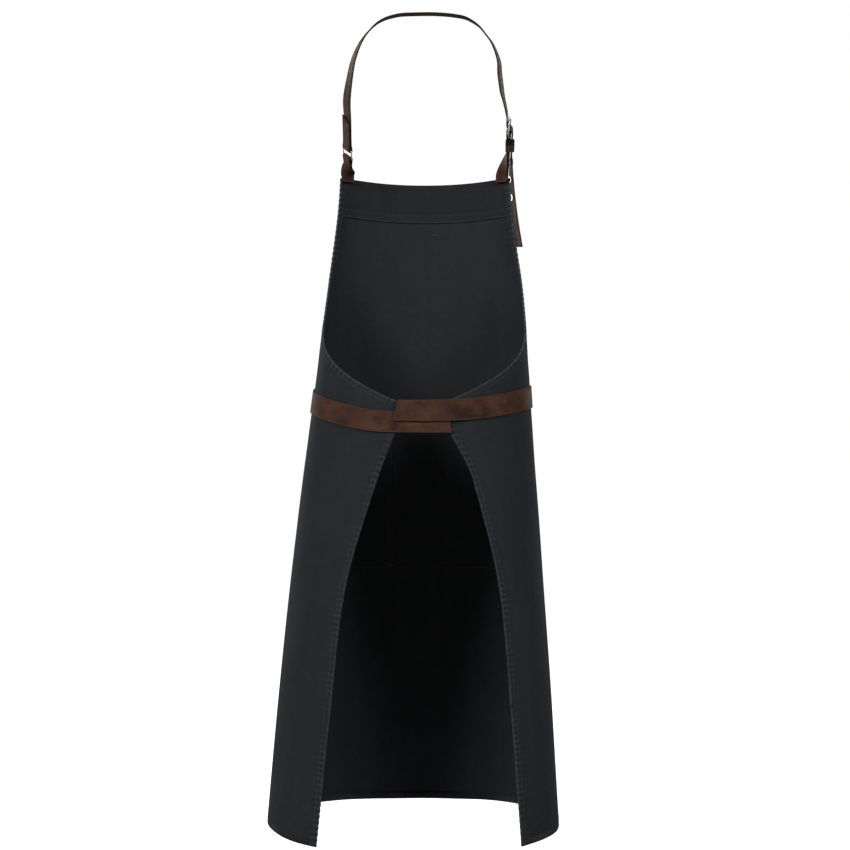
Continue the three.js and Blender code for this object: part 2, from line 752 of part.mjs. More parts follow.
// ---- waist straps ----
const waistBase = CLOTH / 2 + 0.5 + WAIST_LEATHER / 2;
const waistRaise = KEEPER_LEATHER + KEEPER_EASE + GAP; // room for the keeper behind the straps
const waistBar = waistBase + waistRaise + WAIST_BUCKLE.bar + GAP + WAIST_LEATHER / 2;
const waistTailOut = waistBase + waistRaise + 2 * (WAIST_LEATHER + GAP) + EYELET_EASE + EYELET_LIP;

// Height of a strap's centre line at arc length s from the front centre, from a few stations.
function heightFrom(stations, s) {
  const i = Math.max(1, stations.findIndex(([arc]) => arc >= s));
  const upper = s > stations[stations.length - 1][0] ? stations.length - 1 : i;
  const [s0, z0] = stations[upper - 1];
  const [s1, z1] = stations[upper];
  return z0 + ((z1 - z0) * (s - s0)) / (s1 - s0);
}

const beltZ = BIB_TOP_Z - WAIST_DEPTH;
const sewnAt = HALF_CLOTH + CORNER_DRAW - WAIST_SEWN; // where a strap's far end is sewn
const leftHeights = [
  [0, beltZ - 20], [150, beltZ - 21.5], [200, beltZ - 25], [235, beltZ - 30], [270, beltZ - 37],
  [310, beltZ - 46], [345, beltZ - 54], [375, beltZ - 58.5], [400, beltZ - 60], [470, beltZ - 60],
];
const rightHeights = [
  [0, beltZ - 20], [150, beltZ - 20], [200, beltZ - 20.5], [235, beltZ - 22.5], [270, beltZ - 27],
  [310, beltZ - 33.5], [345, beltZ - 39], [375, beltZ - 42], [400, beltZ - 43], [470, beltZ - 44],
];

function beltStation(s, z, outside) {
  return {
    edgeA: onBody(s, z - WAIST_WIDTH / 2, outside),
    edgeB: onBody(s, z + WAIST_WIDTH / 2, outside),
  };
}

// Gives each station the face direction that is square to the strap's own run.
function withFaces(stations) {
  return stations.map((station, i) => {
    const before = middleOf(stations[Math.max(0, i - 1)]);
    const after = middleOf(stations[Math.min(stations.length - 1, i + 1)]);
    const across = station.edgeB.clone().sub(station.edgeA);
    return { ...station, face: across.cross(after.sub(before)).normalize() };
  });
}

// Stations of a strap from its sewn end on the far side's back corner, over the middle of the
// back and round its own side. lift(own) is its height off the cloth, where own is the arc
// length from the front centre by way of its own side.
function beltWrap(side, heights, lift, stopAt) {
  const total = 2 * halfOutline(beltZ - 50).half;
  const start = total - sewnAt;
  const steps = Math.ceil((start - stopAt) / 12);
  const stations = [];
  for (let i = 0; i <= steps; i++) {
    const own = THREE.MathUtils.lerp(start, stopAt, i / steps);
    const far = total - own;
    const s = own < far ? side * own : -side * far;
    stations.push(beltStation(s, heightFrom(heights, Math.abs(s)), waistBase + lift(own)));
  }
  return stations;
}

function ramp(value, from, to) {
  return THREE.MathUtils.smoothstep(value, Math.min(from, to), Math.max(from, to));
}

// Towards the front centre both straps stand off the cloth, for the keeper behind them.
const frontRaise = (s) => waistRaise * (1 - ramp(s, FRONT_RAISE_START - 40, FRONT_RAISE_START));

function leftStrapStations() {
  const stopAt = WAIST_BUCKLE_S + WAIST_BUCKLE.length + 14;
  const wrap = beltWrap(1, leftHeights, frontRaise, stopAt);
  const z = leftHeights[0][1];
  const run = throughBuckle(WAIST_BUCKLE);
  const through = run.map(([along, out]) => beltStation(WAIST_BUCKLE_S + along, z, waistBar + out));
  const [last, over] = run[run.length - 1];
  const tail = [];
  const tailSteps = 11;
  for (let i = 1; i <= tailSteps; i++) {
    const along = THREE.MathUtils.lerp(-last, WAIST_TAIL, i / tailSteps);
    const out = THREE.MathUtils.lerp(waistBar + over, waistTailOut, ramp(along, -last, 60 - last));
    tail.push(beltStation(WAIST_BUCKLE_S - along, z, out));
  }
  return withFaces([...wrap, ...through, ...tail]);
}

// The right strap ends in a turn round the hinge bar; its turned-back end lies inside.
function rightStrapStations() {
  const layer = WAIST_LEATHER + GAP;
  const crossing = (s) => (layer + GAP / 2) * ramp(s, sewnAt + WAIST_SEWN - CROSSING_EASE, sewnAt);
  const overFold = (s) => layer * (1 - ramp(s, 66, 84));
  const lift = (s) => crossing(s) + frontRaise(s) + overFold(s);
  const wrap = beltWrap(-1, rightHeights, lift, -WAIST_BUCKLE_S + 16);
  const radius = WAIST_BUCKLE.bar + GAP + WAIST_LEATHER / 2;
  const z = rightHeights[0][1];
  const inner = waistBase + waistRaise;
  const at = (along, out) => beltStation(WAIST_BUCKLE_S + along, z, out);
  const rising = THREE.MathUtils.lerp(inner + layer, waistBar + radius, 0.35);
  const turn = [at(-10, rising), at(-4, waistBar + radius * 0.9)];
  for (let degrees = 90; degrees >= -90; degrees -= 22.5) {
    const angle = THREE.MathUtils.degToRad(degrees);
    turn.push(at(radius * Math.cos(angle), waistBar + radius * Math.sin(angle)));
  }
  turn.push(at(-12, inner), at(-24, inner), at(-WAIST_FOLD, inner));
  return withFaces([...wrap, ...turn]);
}

// A seat on the belt: up points to the wearer's left between two arc lengths, out faces forward.
function beltSeat(from, to, at, outside) {
  const here = (s) => beltStation(s, leftHeights[0][1], outside);
  const across = here(at).edgeB.clone().sub(here(at).edgeA).normalize();
  const up = middleOf(here(to)).sub(middleOf(here(from)));
  up.addScaledVector(across, -up.dot(across)).normalize();
  return new Seat(middleOf(here(at)), up, across, up.clone().cross(across));
}

const waistSeat = beltSeat(WAIST_BUCKLE_S, WAIST_BUCKLE_S + WAIST_BUCKLE.length, WAIST_BUCKLE_S, waistBar);
const waistKeeperSeat = beltSeat(WAIST_KEEPER_S - 8, WAIST_KEEPER_S + 8, WAIST_KEEPER_S, waistBase);

// The waist keeper holds the turned-back right strap and the left one's tail.
function waistKeeper() {
  const low = waistRaise - WAIST_LEATHER / 2 - KEEPER_EASE;
  const high = waistTailOut - waistBase + WAIST_LEATHER / 2 + flangeOut + KEEPER_EASE;
  return placeOn(waistKeeperSeat, keeperBody(WAIST_WIDTH, low, high, 13));
}

function waistStrapRight() {
  const strap = strapBody(rightStrapStations(), WAIST_LEATHER);
  return cutAway(strap, [placeOn(waistSeat, turnSlot(WAIST_BUCKLE))]);
}

// ---- cloth pieces ----
function clothPoint(row, across, outside) {
  const depth = row.centre + (row.edge - row.centre) * across * across;
  return onCloth(across * row.half, depth, outside);
}

function panelRows() {
  const rows = [];
  for (let i = 0; i < ARMHOLE_ROWS; i++) {
    const u = 1 - (1 - i / ARMHOLE_ROWS) ** 1.4; // closer together towards the waist corner
    const edge = armhole.getPoint(u);
    rows.push({ half: edge.x, edge: edge.y, centre: WAIST_DEPTH * u });
  }
  for (let i = 0; i <= SKIRT_ROWS; i++) {
    const depth = WAIST_DEPTH + ((CLOTH_LENGTH - WAIST_DEPTH) * i) / SKIRT_ROWS;
    rows.push({ half: HALF_CLOTH, edge: depth, centre: depth });
  }
  return rows;
}

function rowsBody(rows, columns, middle, thickness) {
  const place = (i, j, side) => clothPoint(rows[i], (2 * j) / columns - 1, middle + (side * thickness) / 2);
  return faceOutward(sheetBody(rows.length - 1, columns, place));
}

function apronPanel() {
  return rowsBody(panelRows(), CLOTH_COLUMNS, 0, CLOTH);
}

function bibFacing() {
  const rows = [];
  const count = 4;
  for (let i = 0; i <= count; i++) {
    const down = FACING_INSET + ((FACING_DEPTH - FACING_INSET) * i) / count;
    const edge = down - BIB_CORNER_RISE;
    rows.push({ half: halfWidthAt(edge) - FACING_INSET, edge, centre: down });
  }
  return rowsBody(rows, CLOTH_COLUMNS, -(CLOTH / 2 + GAP + FACING / 2), FACING);
}

// The pocket bulges at its mouth in each compartment and lies flat at its seams.
function frontPocket() {
  const columns = 30;
  const rows = 8;
  const flat = CLOTH / 2 + GAP + POCKET_CLOTH / 2;
  const bulge = (s, down) => {
    const [from, to] = s < POCKET_DIVIDER ? [-POCKET_HALF, POCKET_DIVIDER] : [POCKET_DIVIDER, POCKET_HALF];
    const across = Math.sin((Math.PI * (s - from)) / (to - from));
    return POCKET_BULGE * across * (1 - down) ** 0.8;
  };
  const leftColumns = Math.round((columns * (POCKET_HALF + POCKET_DIVIDER)) / (2 * POCKET_HALF));
  const arc = (j) => (j <= leftColumns
    ? THREE.MathUtils.lerp(-POCKET_HALF, POCKET_DIVIDER, j / leftColumns)
    : THREE.MathUtils.lerp(POCKET_DIVIDER, POCKET_HALF, (j - leftColumns) / (columns - leftColumns)));
  const place = (i, j, side) => {
    const down = i / rows;
    const s = arc(j);
    const depth = THREE.MathUtils.lerp(POCKET_TOP, POCKET_BOTTOM, down);
    return onCloth(s, depth, flat + bulge(s, down) + (side * POCKET_CLOTH) / 2);
  };
  return faceOutward(sheetBody(rows, columns, place));
}

// ---- the assembly ----
const apron = new THREE.Group();
function add(name, geometry, look) {
  const mesh = new THREE.Mesh(geometry, new THREE.MeshStandardMaterial({ ...look, side: THREE.FrontSide }));
  mesh.name = name;
  apron.add(mesh);
}

// The tongue lifts in a plain slot; every other hole is lined with an eyelet.
function addEyeletStrap(where, name, stations, eyelet, seat, buckle) {
  const thickness = buckle.strap;
  const tongueAt = seat.at(buckle.holeAlong, tongueHeight(buckle));
  const places = holePlaces(stations, tongueAt, eyelet.spacing, eyelet.count);
  const lined = eyelet.inner + EYELET_WALL + GAP;
  const holes = places.map((place) => roundHole(place, lined, thickness));
  holes.push(placeOn(seat, tongueSlot(buckle)));
  add(name, cutAway(strapBody(stations, thickness), holes), leather);
  places.forEach((place, i) => {
    add(`${where}_eyelet_${i + 1}`, eyeletBody(place, eyelet, thickness), steel);
  });
}

function addCloth() {
  add('apron_panel', apronPanel(), twill);
  add('bib_facing', bibFacing(), twill);
  add('front_pocket', frontPocket(), twill);
}

function addNeckStrap() {
  const ring = loopBody(RING.inside, -RING.spacing / 2, RING.spacing / 2, RING.wire, RING.wire, 2);
  add('neck_tab_left', neckTabLeft(), leather);
  add('neck_ring', placeOn(ringSeat, ring), steel);
  addEyeletStrap('neck', 'neck_strap', neckStrapStations(), NECK_EYELET, buckleSeat, NECK_BUCKLE);
  add('neck_tab_right', neckTabRight(), leather);
  add('neck_buckle_frame', placeOn(buckleSeat, buckleFrame(NECK_BUCKLE)), steel);
  add('neck_buckle_tongue', placeOn(buckleSeat, buckleTongue(NECK_BUCKLE)), steel);
  add('neck_keeper', neckKeeper(), leather);
}

function addWaistStraps() {
  addEyeletStrap('waist', 'waist_strap_left', leftStrapStations(), WAIST_EYELET, waistSeat, WAIST_BUCKLE);
  add('waist_strap_right', waistStrapRight(), leather);
  add('waist_buckle_frame', placeOn(waistSeat, buckleFrame(WAIST_BUCKLE)), steel);
  add('waist_buckle_tongue', placeOn(waistSeat, buckleTongue(WAIST_BUCKLE)), steel);
  add('waist_keeper', waistKeeper(), leather);
}

addCloth();
addNeckStrap();
addWaistStraps();

export default apron;
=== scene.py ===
"""A bib apron with leather straps, hanging as worn, seen from the wearer's back.

Lengths are millimetres in the code and metres in Blender. +Z is up, the bib's outside
faces -Y and +X is the wearer's left. Cloth is placed by s, the arc length round the body
from the front centre, and by its depth below the top of the bib.
"""

import math

import bmesh
import bpy
import numpy as np
from mathutils import Matrix, Vector


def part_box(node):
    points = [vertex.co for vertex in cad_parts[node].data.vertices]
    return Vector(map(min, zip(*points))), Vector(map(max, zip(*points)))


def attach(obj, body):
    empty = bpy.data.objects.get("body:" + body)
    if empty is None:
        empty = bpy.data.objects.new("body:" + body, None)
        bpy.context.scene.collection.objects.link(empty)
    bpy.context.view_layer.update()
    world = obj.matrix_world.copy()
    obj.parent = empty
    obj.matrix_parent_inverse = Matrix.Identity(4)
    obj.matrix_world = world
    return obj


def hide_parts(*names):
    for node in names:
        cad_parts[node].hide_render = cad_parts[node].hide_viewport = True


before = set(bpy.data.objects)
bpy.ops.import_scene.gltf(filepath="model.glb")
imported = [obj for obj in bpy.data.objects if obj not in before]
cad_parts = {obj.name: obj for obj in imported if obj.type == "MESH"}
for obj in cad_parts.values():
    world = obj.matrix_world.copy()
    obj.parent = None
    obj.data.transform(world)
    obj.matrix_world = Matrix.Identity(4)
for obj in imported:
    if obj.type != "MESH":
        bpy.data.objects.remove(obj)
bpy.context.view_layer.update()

MM = 0.001

# ---- sizes, as in the CAD ----
GAP = 0.35
BODY_POWER = 2.3
BODY_AXIS_Y = -43
BODY_STATIONS = np.array([
    # height, half width, half depth, sideways shift
    [-1220, 221, 110, 17],
    [-1015, 204.5, 118, 14],
    [-836, 188, 124, 11.5],
    [-656, 170.5, 110, 7.5],
    [-567, 161.5, 106, 4.5],
    [-500, 155.5, 105, 2],
    [-420, 150, 107, 0],
    [-338, 160, 112, 0],
    [-225, 170, 115, 0],
], float)
CLOTH = 1.4
CLOTH_LENGTH = 950
HALF_CLOTH = 395
BIB_TOP_Z = -232.5
BIB_HALF_TOP = 137
BIB_CORNER_RISE = 9
WAIST_DEPTH = 307
DROOP_START = 100
DROOP_AT_BACK = 34
DRAW_START = 150
CORNER_DRAW = 17
SKIRT_TURN = 8.6
TURN_DEPTH = 420
FACING = 1.2
FACING_DEPTH = 59
POCKET_CLOTH = 1.2
POCKET_TOP = 402
POCKET_BOTTOM = 595
POCKET_HALF = 180
POCKET_DIVIDER = 42
POCKET_BULGE = 11
NECK_WIDTH = 20
NECK_LEATHER = 2.2
TAB_SEWN = 7
FOLD_LENGTH = 49
TAIL_END_DEPTH = 97
TAIL_STAND_OFF = 6.5
WAIST_WIDTH = 32
WAIST_LEATHER = 2
WAIST_SEWN = 11
WAIST_FOLD = 42
WAIST_TAIL = 128
CROSSING_EASE = 43
FRONT_RAISE_START = 150
KEEPER_LEATHER = 1.5
KEEPER_EASE = 1.2
NECK_KEEPER_LENGTH = 11
NECK_KEEPER_AT = -21  # its middle, up the strap from the neck buckle's hinge bar
WAIST_KEEPER_LENGTH = 13
WAIST_BUCKLE_S = -20
WAIST_KEEPER_S = -98
EYELET_FLANGE_OUT = 1.15
EYELET_WALL = 0.7
NECK_EYELET_HOLE = 2.8
WAIST_EYELET_HOLE = 3.6
RING_WIRE = 0.9
RING_SPACING = 14
RING_INSIDE = 22.4
NECK_BUCKLE = dict(length=21, bar=1.3, rim=1.1, wide=1.7, inside=22.4, tongue=1.8,
                   tongue_width=2.6, strap=NECK_LEATHER, hole=8.2)
WAIST_BUCKLE = dict(length=27, bar=1.6, rim=1.6, wide=2.4, inside=35, tongue=2.2,
                    tongue_width=3.4, strap=WAIST_LEATHER, hole=8.6)

# ---- sizes that only the picture needs ----
HEM = 9.5  # width of the folded hems
HEM_FOLD = 1.6  # thickness that a hem adds inside
HEM_STEP = 0.5  # the hem's inner edge falls away over this width
HEM_OFFSETS = (0, 1.2, 2.8, 4.4, 6.6, HEM, HEM + HEM_STEP)
PUCKER_PITCH = 8.2
PUCKER = 0.55  # how high the sewing's waves stand, and how far they scallop the edge
SCALLOP = 0.45
RIGHT_WAVES = 31  # the waves' start on the right side and the bottom hem, against the left
BOTTOM_WAVES = 400
STITCH_ROW = 7.2  # from a hem's edge to its stitches
STITCH_PITCH = 3.1
ROW_PITCH = 1.9
INNER_COLUMNS = 44
LEATHER_STITCH_INSET = 2.3
LEATHER_STITCH_PITCH = 2.9
THREAD = 0.24  # radius of the sewing thread
TACK_HALF = 1.4  # half a bar tack's width, the pitch of its threads and their radius
TACK_PITCH = 0.55
TACK_THREAD = 0.3
STITCH_LIFT = 0.1  # from the material to the middle of the thread
STITCH_HALF = 0.38  # half a stitch's length, as a share of the pitch


# ---- the camera: the photograph's view, from 3 m behind the middle of the body ----
def add_camera():
    data = bpy.data.cameras.new("camera")
    data.lens = 85
    data.sensor_width = 36
    camera = bpy.data.objects.new("camera", data)
    camera.location = (0, 2.957, -0.604)
    camera.rotation_euler = (math.pi / 2, 0, math.pi)
    bpy.context.scene.collection.objects.link(camera)
    bpy.context.scene.camera = camera


add_camera()


# ---- the body and the cloth on it ----
def smoothstep(value, start, end):
    share = np.clip((np.asarray(value, float) - start) / (end - start), 0, 1)
    return share * share * (3 - 2 * share)


def bell(value, centre, width):
    return np.exp(-(((np.asarray(value, float) - centre) / width) ** 2))


def length_along(points):
    """How far along a polyline each of its points is."""
    step = np.linalg.norm(np.diff(points, axis=0), axis=1)
    return np.concatenate([[0], np.cumsum(step)])


SLOPES = np.gradient(BODY_STATIONS, axis=0) / np.gradient(BODY_STATIONS[:, :1], axis=0)


def section(z):
    """The body's half width, half depth and shift at heights z: smooth through the stations."""
    heights = BODY_STATIONS[:, 0]
    z = np.clip(np.asarray(z, float), heights[0], heights[-1])
    i = np.clip(np.searchsorted(heights, z, side="right") - 1, 0, len(heights) - 2)
    span = heights[i + 1] - heights[i]
    t = (z - heights[i]) / span
    low = (2 * t**3 - 3 * t**2 + 1)[..., None]
    leave = ((t**3 - 2 * t**2 + t) * span)[..., None]
    arrive = ((t**3 - t**2) * span)[..., None]
    values = (low * BODY_STATIONS[i] + (1 - low) * BODY_STATIONS[i + 1]
              + leave * SLOPES[i] + arrive * SLOPES[i + 1])
    return np.moveaxis(values[..., 1:], -1, 0)


LEVELS = np.arange(-1232, -150, 2.0)
SHARES = np.linspace(0, 1, 601)


def outline_tables():
    """For each level: the half outline at equal shares of its length, and that length."""
    angle = np.linspace(0, math.pi, 721)
    root = 2 / BODY_POWER
    across = np.abs(np.sin(angle)) ** root
    along = -np.sign(np.cos(angle)) * np.abs(np.cos(angle)) ** root
    half_width, half_depth, _ = section(LEVELS)
    xs, ys, lengths = [], [], []
    for a, b in zip(half_width, half_depth):
        reach = length_along(np.stack([across * a, along * b], axis=-1))
        xs.append(np.interp(SHARES * reach[-1], reach, across))
        ys.append(np.interp(SHARES * reach[-1], reach, along))
        lengths.append(reach[-1])
    return np.array(xs), np.array(ys), np.array(lengths)


OUTLINE_X, OUTLINE_Y, HALF_LENGTHS = outline_tables()


def between(table, level, share):
    """The value of a table of levels x shares, between its entries."""
    i = level.astype(int)
    j = share.astype(int)
    u = level - i
    v = share - j
    near = table[i, j] * (1 - v) + table[i, j + 1] * v
    far = table[i + 1, j] * (1 - v) + table[i + 1, j + 1] * v
    return near * (1 - u) + far * u


def on_body(s, z, outside=0.0):
    """Points at arc length s from the front centre and height z, some distance outside the body."""
    s, z, outside = np.broadcast_arrays(np.asarray(s, float), z, outside)
    half = np.interp(z, LEVELS, HALF_LENGTHS)
    level = np.clip((z - LEVELS[0]) / (LEVELS[1] - LEVELS[0]), 0, len(LEVELS) - 1.001)
    share = np.clip(np.abs(s) / half * (len(SHARES) - 1), 0, len(SHARES) - 1.001)
    x = between(OUTLINE_X, level, share)
    y = between(OUTLINE_Y, level, share)
    half_width, half_depth, shift = section(z)
    normal_x = x ** (BODY_POWER - 1) / half_width
    normal_y = np.sign(y) * np.abs(y) ** (BODY_POWER - 1) / half_depth
    size = np.hypot(normal_x, normal_y)
    side = np.where(s < 0, -1.0, 1.0)
    return np.stack([
        side * (x * half_width + normal_x / size * outside) + shift,
        y * half_depth + normal_y / size * outside + BODY_AXIS_Y,
        z + 0 * s,
    ], axis=-1)


def droop(s):
    """How far a level line of the cloth has sunk at s, towards the back."""
    past = np.maximum(0, np.abs(s) - DROOP_START) / (HALF_CLOTH - DROOP_START)
    return DROOP_AT_BACK * past**1.5


def hung_at(s, depth):
    """Where round the body the cloth at s hangs: drawn in at the waist, turned below it."""
    behind = smoothstep(np.abs(s), DRAW_START, HALF_CLOTH)
    below = smoothstep(depth, WAIST_DEPTH, TURN_DEPTH)
    return s + behind * (np.sign(s) * CORNER_DRAW * (1 - below) + SKIRT_TURN * below)


def on_cloth(s, depth, outside=0.0):
    s = np.asarray(s, float)
    return on_body(hung_at(s, depth), BIB_TOP_Z - depth - droop(s), outside)


ARMHOLE = np.array([
    (BIB_HALF_TOP, -BIB_CORNER_RISE),
    (BIB_HALF_TOP + 10, WAIST_DEPTH * 0.49),
    (BIB_HALF_TOP + 68, WAIST_DEPTH * 0.88),
    (HALF_CLOTH, WAIST_DEPTH),
])


def armhole_point(u):
    """(s, depth) on the edge from the bib's corner, u = 0, to the waist corner, u = 1."""
    u = np.asarray(u, float)[..., None]
    a, b, c, d = ARMHOLE
    return a * (1 - u) ** 3 + 3 * b * u * (1 - u) ** 2 + 3 * c * u**2 * (1 - u) + d * u**3


def half_width_at(depth):
    """The bib's half width at a depth, armhole to centre."""
    u = np.linspace(0, 1, 801)
    points = armhole_point(u)
    return np.interp(depth, points[:, 1], points[:, 0])


# ---- soft folds of the hanging cloth, as distances outward ----
STRAP_DEPTH = 331  # the waist straps hold the cloth flat here
DRAG_DEPTH = 345  # the creases below each waist corner start here


def folds(s, depth):
    """Long waves down the skirt, faint ones across the bib and creases at the corners."""
    s = np.asarray(s, float)
    depth = np.asarray(depth, float)
    below = smoothstep(depth, 370, 900)
    around = 0.35 + 0.65 * smoothstep(np.abs(s), 90, 260)
    skirt = 2.6 * np.sin(s / 29 + 0.9 * np.sin(s / 61) + depth / 700 + 0.4)
    skirt = skirt + 1.3 * np.sin(s / 15.5 - depth / 330)
    bib = 1.1 * np.sin(s / 41 + 1.0) * np.sin(depth / 62) * smoothstep(depth, 70, 140)
    bib = bib * (1 - smoothstep(depth, 250, 300))
    near_straps = np.abs(depth - STRAP_DEPTH) < 70
    loose = 1 - bell(depth, STRAP_DEPTH, 34) * near_straps
    return (skirt * below * around + bib + drag_lines(s, depth)) * loose


def drag_lines(s, depth):
    """Creases that run down and out from where each waist strap is sewn to a back corner."""
    away = HALF_CLOTH - np.abs(s)
    down = depth - DRAG_DEPTH
    reach = np.hypot(away, down)
    angle = np.arctan2(down, away + 1e-6)
    window = smoothstep(reach, 8, 34) * np.exp(-reach / 75) * (down > 0)
    return 1.5 * window * np.sin(angle * 9 + np.where(s < 0, 0.6, 2.1))


def pucker_wave(along):
    """The uneven wave, from -1 to 1, that sewing leaves along a hem."""
    uneven = 0.6 + 0.4 * np.sin(along / 23.0) * np.sin(along / 61.0 + 2)
    phase = 2 * math.pi * along / PUCKER_PITCH + 1.3 * np.sin(along / 37.0)
    return uneven * np.sin(phase)


def puckers(from_edge, along):
    """How far the waves push the cloth out, at a distance from its hemmed edge."""
    window = smoothstep(HEM + 2.5 - from_edge, 0, 5)
    return PUCKER * window * pucker_wave(along)


# ---- mesh builders ----
def outward(points, faces):
    """The faces of a closed body, turned over if they look inward."""
    a, b, c, d = (points[faces[:, k]] for k in range(4))
    volume = np.sum(a * (np.cross(b, c) + np.cross(c, d)))
    return faces if volume > 0 else faces[:, ::-1]


def mesh_object(name, points, faces, material, body="apron", attributes=()):
    """points in millimetres; attributes are (name, value for each point)."""
    points, faces = np.asarray(points, float), np.asarray(faces)
    mesh = bpy.data.meshes.new(name)
    mesh.from_pydata((points * MM).tolist(), [], outward(points, faces).tolist())
    for label, values in attributes:
        values = np.asarray(values, np.float32)
        kind = "FLOAT" if values.ndim == 1 else "FLOAT2"
        data = mesh.attributes.new(label, kind, "POINT").data
        data.foreach_set("value" if values.ndim == 1 else "vector", values.ravel())
    mesh.materials.append(material)
    mesh.shade_smooth()
    mesh.update()
    obj = bpy.data.objects.new(name, mesh)
    bpy.context.scene.collection.objects.link(obj)
    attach(obj, body)
    return obj


def grid_faces(rows, columns, start=0, flip=False, wrap=False):
    i = np.arange(rows)[:, None]
    j = np.arange(columns)[None, :]
    stride = columns if wrap else columns + 1
    a = start + i * stride + j
    b = start + i * stride + (j + 1) % stride
    c = b + stride
    d = a + stride
    order = [a, b, c, d] if flip else [a, d, c, b]
    return np.stack([x + 0 * (i + j) for x in order], axis=-1).reshape(-1, 4)


def round_off(inset, radius):
    """How far a face sinks at a distance from an edge that is rounded to a radius."""
    return radius - np.sqrt(np.maximum(0, radius**2 - np.maximum(0, radius - inset) ** 2))


def sheet_points(outer, inner):
    """The points and faces of a closed sheet from two grids of rows x columns x 3."""
    rows, columns = outer.shape[0] - 1, outer.shape[1] - 1
    count = (rows + 1) * (columns + 1)
    index = np.arange(count).reshape(rows + 1, columns + 1)
    faces = [grid_faces(rows, columns), grid_faces(rows, columns, count, flip=True)]
    ring = np.concatenate([index[0, :-1], index[:-1, -1], index[-1, :0:-1], index[:0:-1, 0]])
    following = np.roll(ring, -1)
    faces.append(np.stack([ring, following, following + count, ring + count], axis=-1))
    points = np.concatenate([outer.reshape(-1, 3), inner.reshape(-1, 3)])
    return points, np.concatenate(faces)


def resample(points, pitch):
    """Points at an even pitch along a polyline, with whatever else their rows hold."""
    points = np.asarray(points, float)
    reach = length_along(points)
    count = max(2, int(round(reach[-1] / pitch)) + 1)
    at = np.linspace(0, reach[-1], count)
    return np.stack([np.interp(at, reach, points[:, k]) for k in range(points.shape[1])], axis=-1)


def unit(vectors):
    return vectors / np.maximum(np.linalg.norm(vectors, axis=-1, keepdims=True), 1e-9)


def stitch_template():
    """A stitch along X from -1 to 1, one unit thick: five sides, sinking at both ends."""
    sides = 5
    start = [(-1, 0.25, -0.9), (-0.7, 0.8, -0.2), (-0.2, 1, 0.15)]  # x, radius, lift
    profile = start + [(-x, radius, lift) for x, radius, lift in start[::-1]]
    angle = np.arange(sides) * 2 * math.pi / sides
    points = [[x, radius * math.cos(a), lift + radius * math.sin(a)]
              for x, radius, lift in profile for a in angle]
    faces = grid_faces(len(profile) - 1, sides, wrap=True)
    return np.array(points), faces


STITCH, STITCH_FACES = stitch_template()


def stitches(name, runs, pitch, radius, material, body="apron"):
    """Thread along each run of (points, normals), one raised stitch at a time."""
    points = []
    for line, normal in runs:
        both = resample(np.hstack([line, normal]), pitch)
        middle = (both[1:, :3] + both[:-1, :3]) / 2
        along = unit(both[1:, :3] - both[:-1, :3])
        up = unit((both[1:, 3:] + both[:-1, 3:]) / 2)
        side = unit(np.cross(up, along))
        size = (pitch * STITCH_HALF, radius, radius)
        axes = np.stack([along, side, up], axis=1)
        points.append((middle + up * STITCH_LIFT)[:, None] + (STITCH * size) @ axes)
    points = np.concatenate(points)
    first = np.arange(len(points))[:, None, None] * len(STITCH)
    faces = (STITCH_FACES + first).reshape(-1, 4)
    return mesh_object(name, points.reshape(-1, 3), faces, material, body)


# ---- materials ----
TWILL_DARK = (0.0105, 0.0113, 0.0127, 1)
TWILL_LIGHT = (0.0170, 0.0182, 0.0205, 1)
# the facing's colours: the twill made darker, as painted shade at the top of the bib
FACING_SHADED_DARK = (0.0070, 0.0076, 0.0086, 1)
FACING_SHADED_LIGHT = (0.0122, 0.0131, 0.0148, 1)
TWILL_FIBRES = (0.0235, 0.0248, 0.0275, 1)
TWILL_RUBBED = (0.070, 0.074, 0.081, 1)
# painted shade, darkening the troughs of the sewing's waves
TWILL_PAINTED_SHADE = (0.006, 0.0063, 0.007, 1)
LEATHER_DARK = (0.021, 0.0088, 0.0054, 1)
LEATHER_LIGHT = (0.062, 0.0265, 0.0150, 1)
LEATHER_PORES = (0.02, 0.012, 0.01, 1)
LEATHER_STITCH_LINE_DARK = (0.012, 0.006, 0.005, 1)
LEATHER_RUBBED = (0.105, 0.046, 0.029, 1)
LEATHER_BURNISHED = (0.011, 0.006, 0.005, 1)
CLOTH_THREAD = ((0.028, 0.03, 0.034, 1), (0.062, 0.065, 0.072, 1))
LEATHER_THREAD = ((0.07, 0.034, 0.022, 1), (0.13, 0.07, 0.047, 1))
STEEL_DULL = (0.26, 0.26, 0.265, 1)
STEEL_BRIGHT = (0.5, 0.49, 0.475, 1)
WHITE = (1, 1, 1, 1)


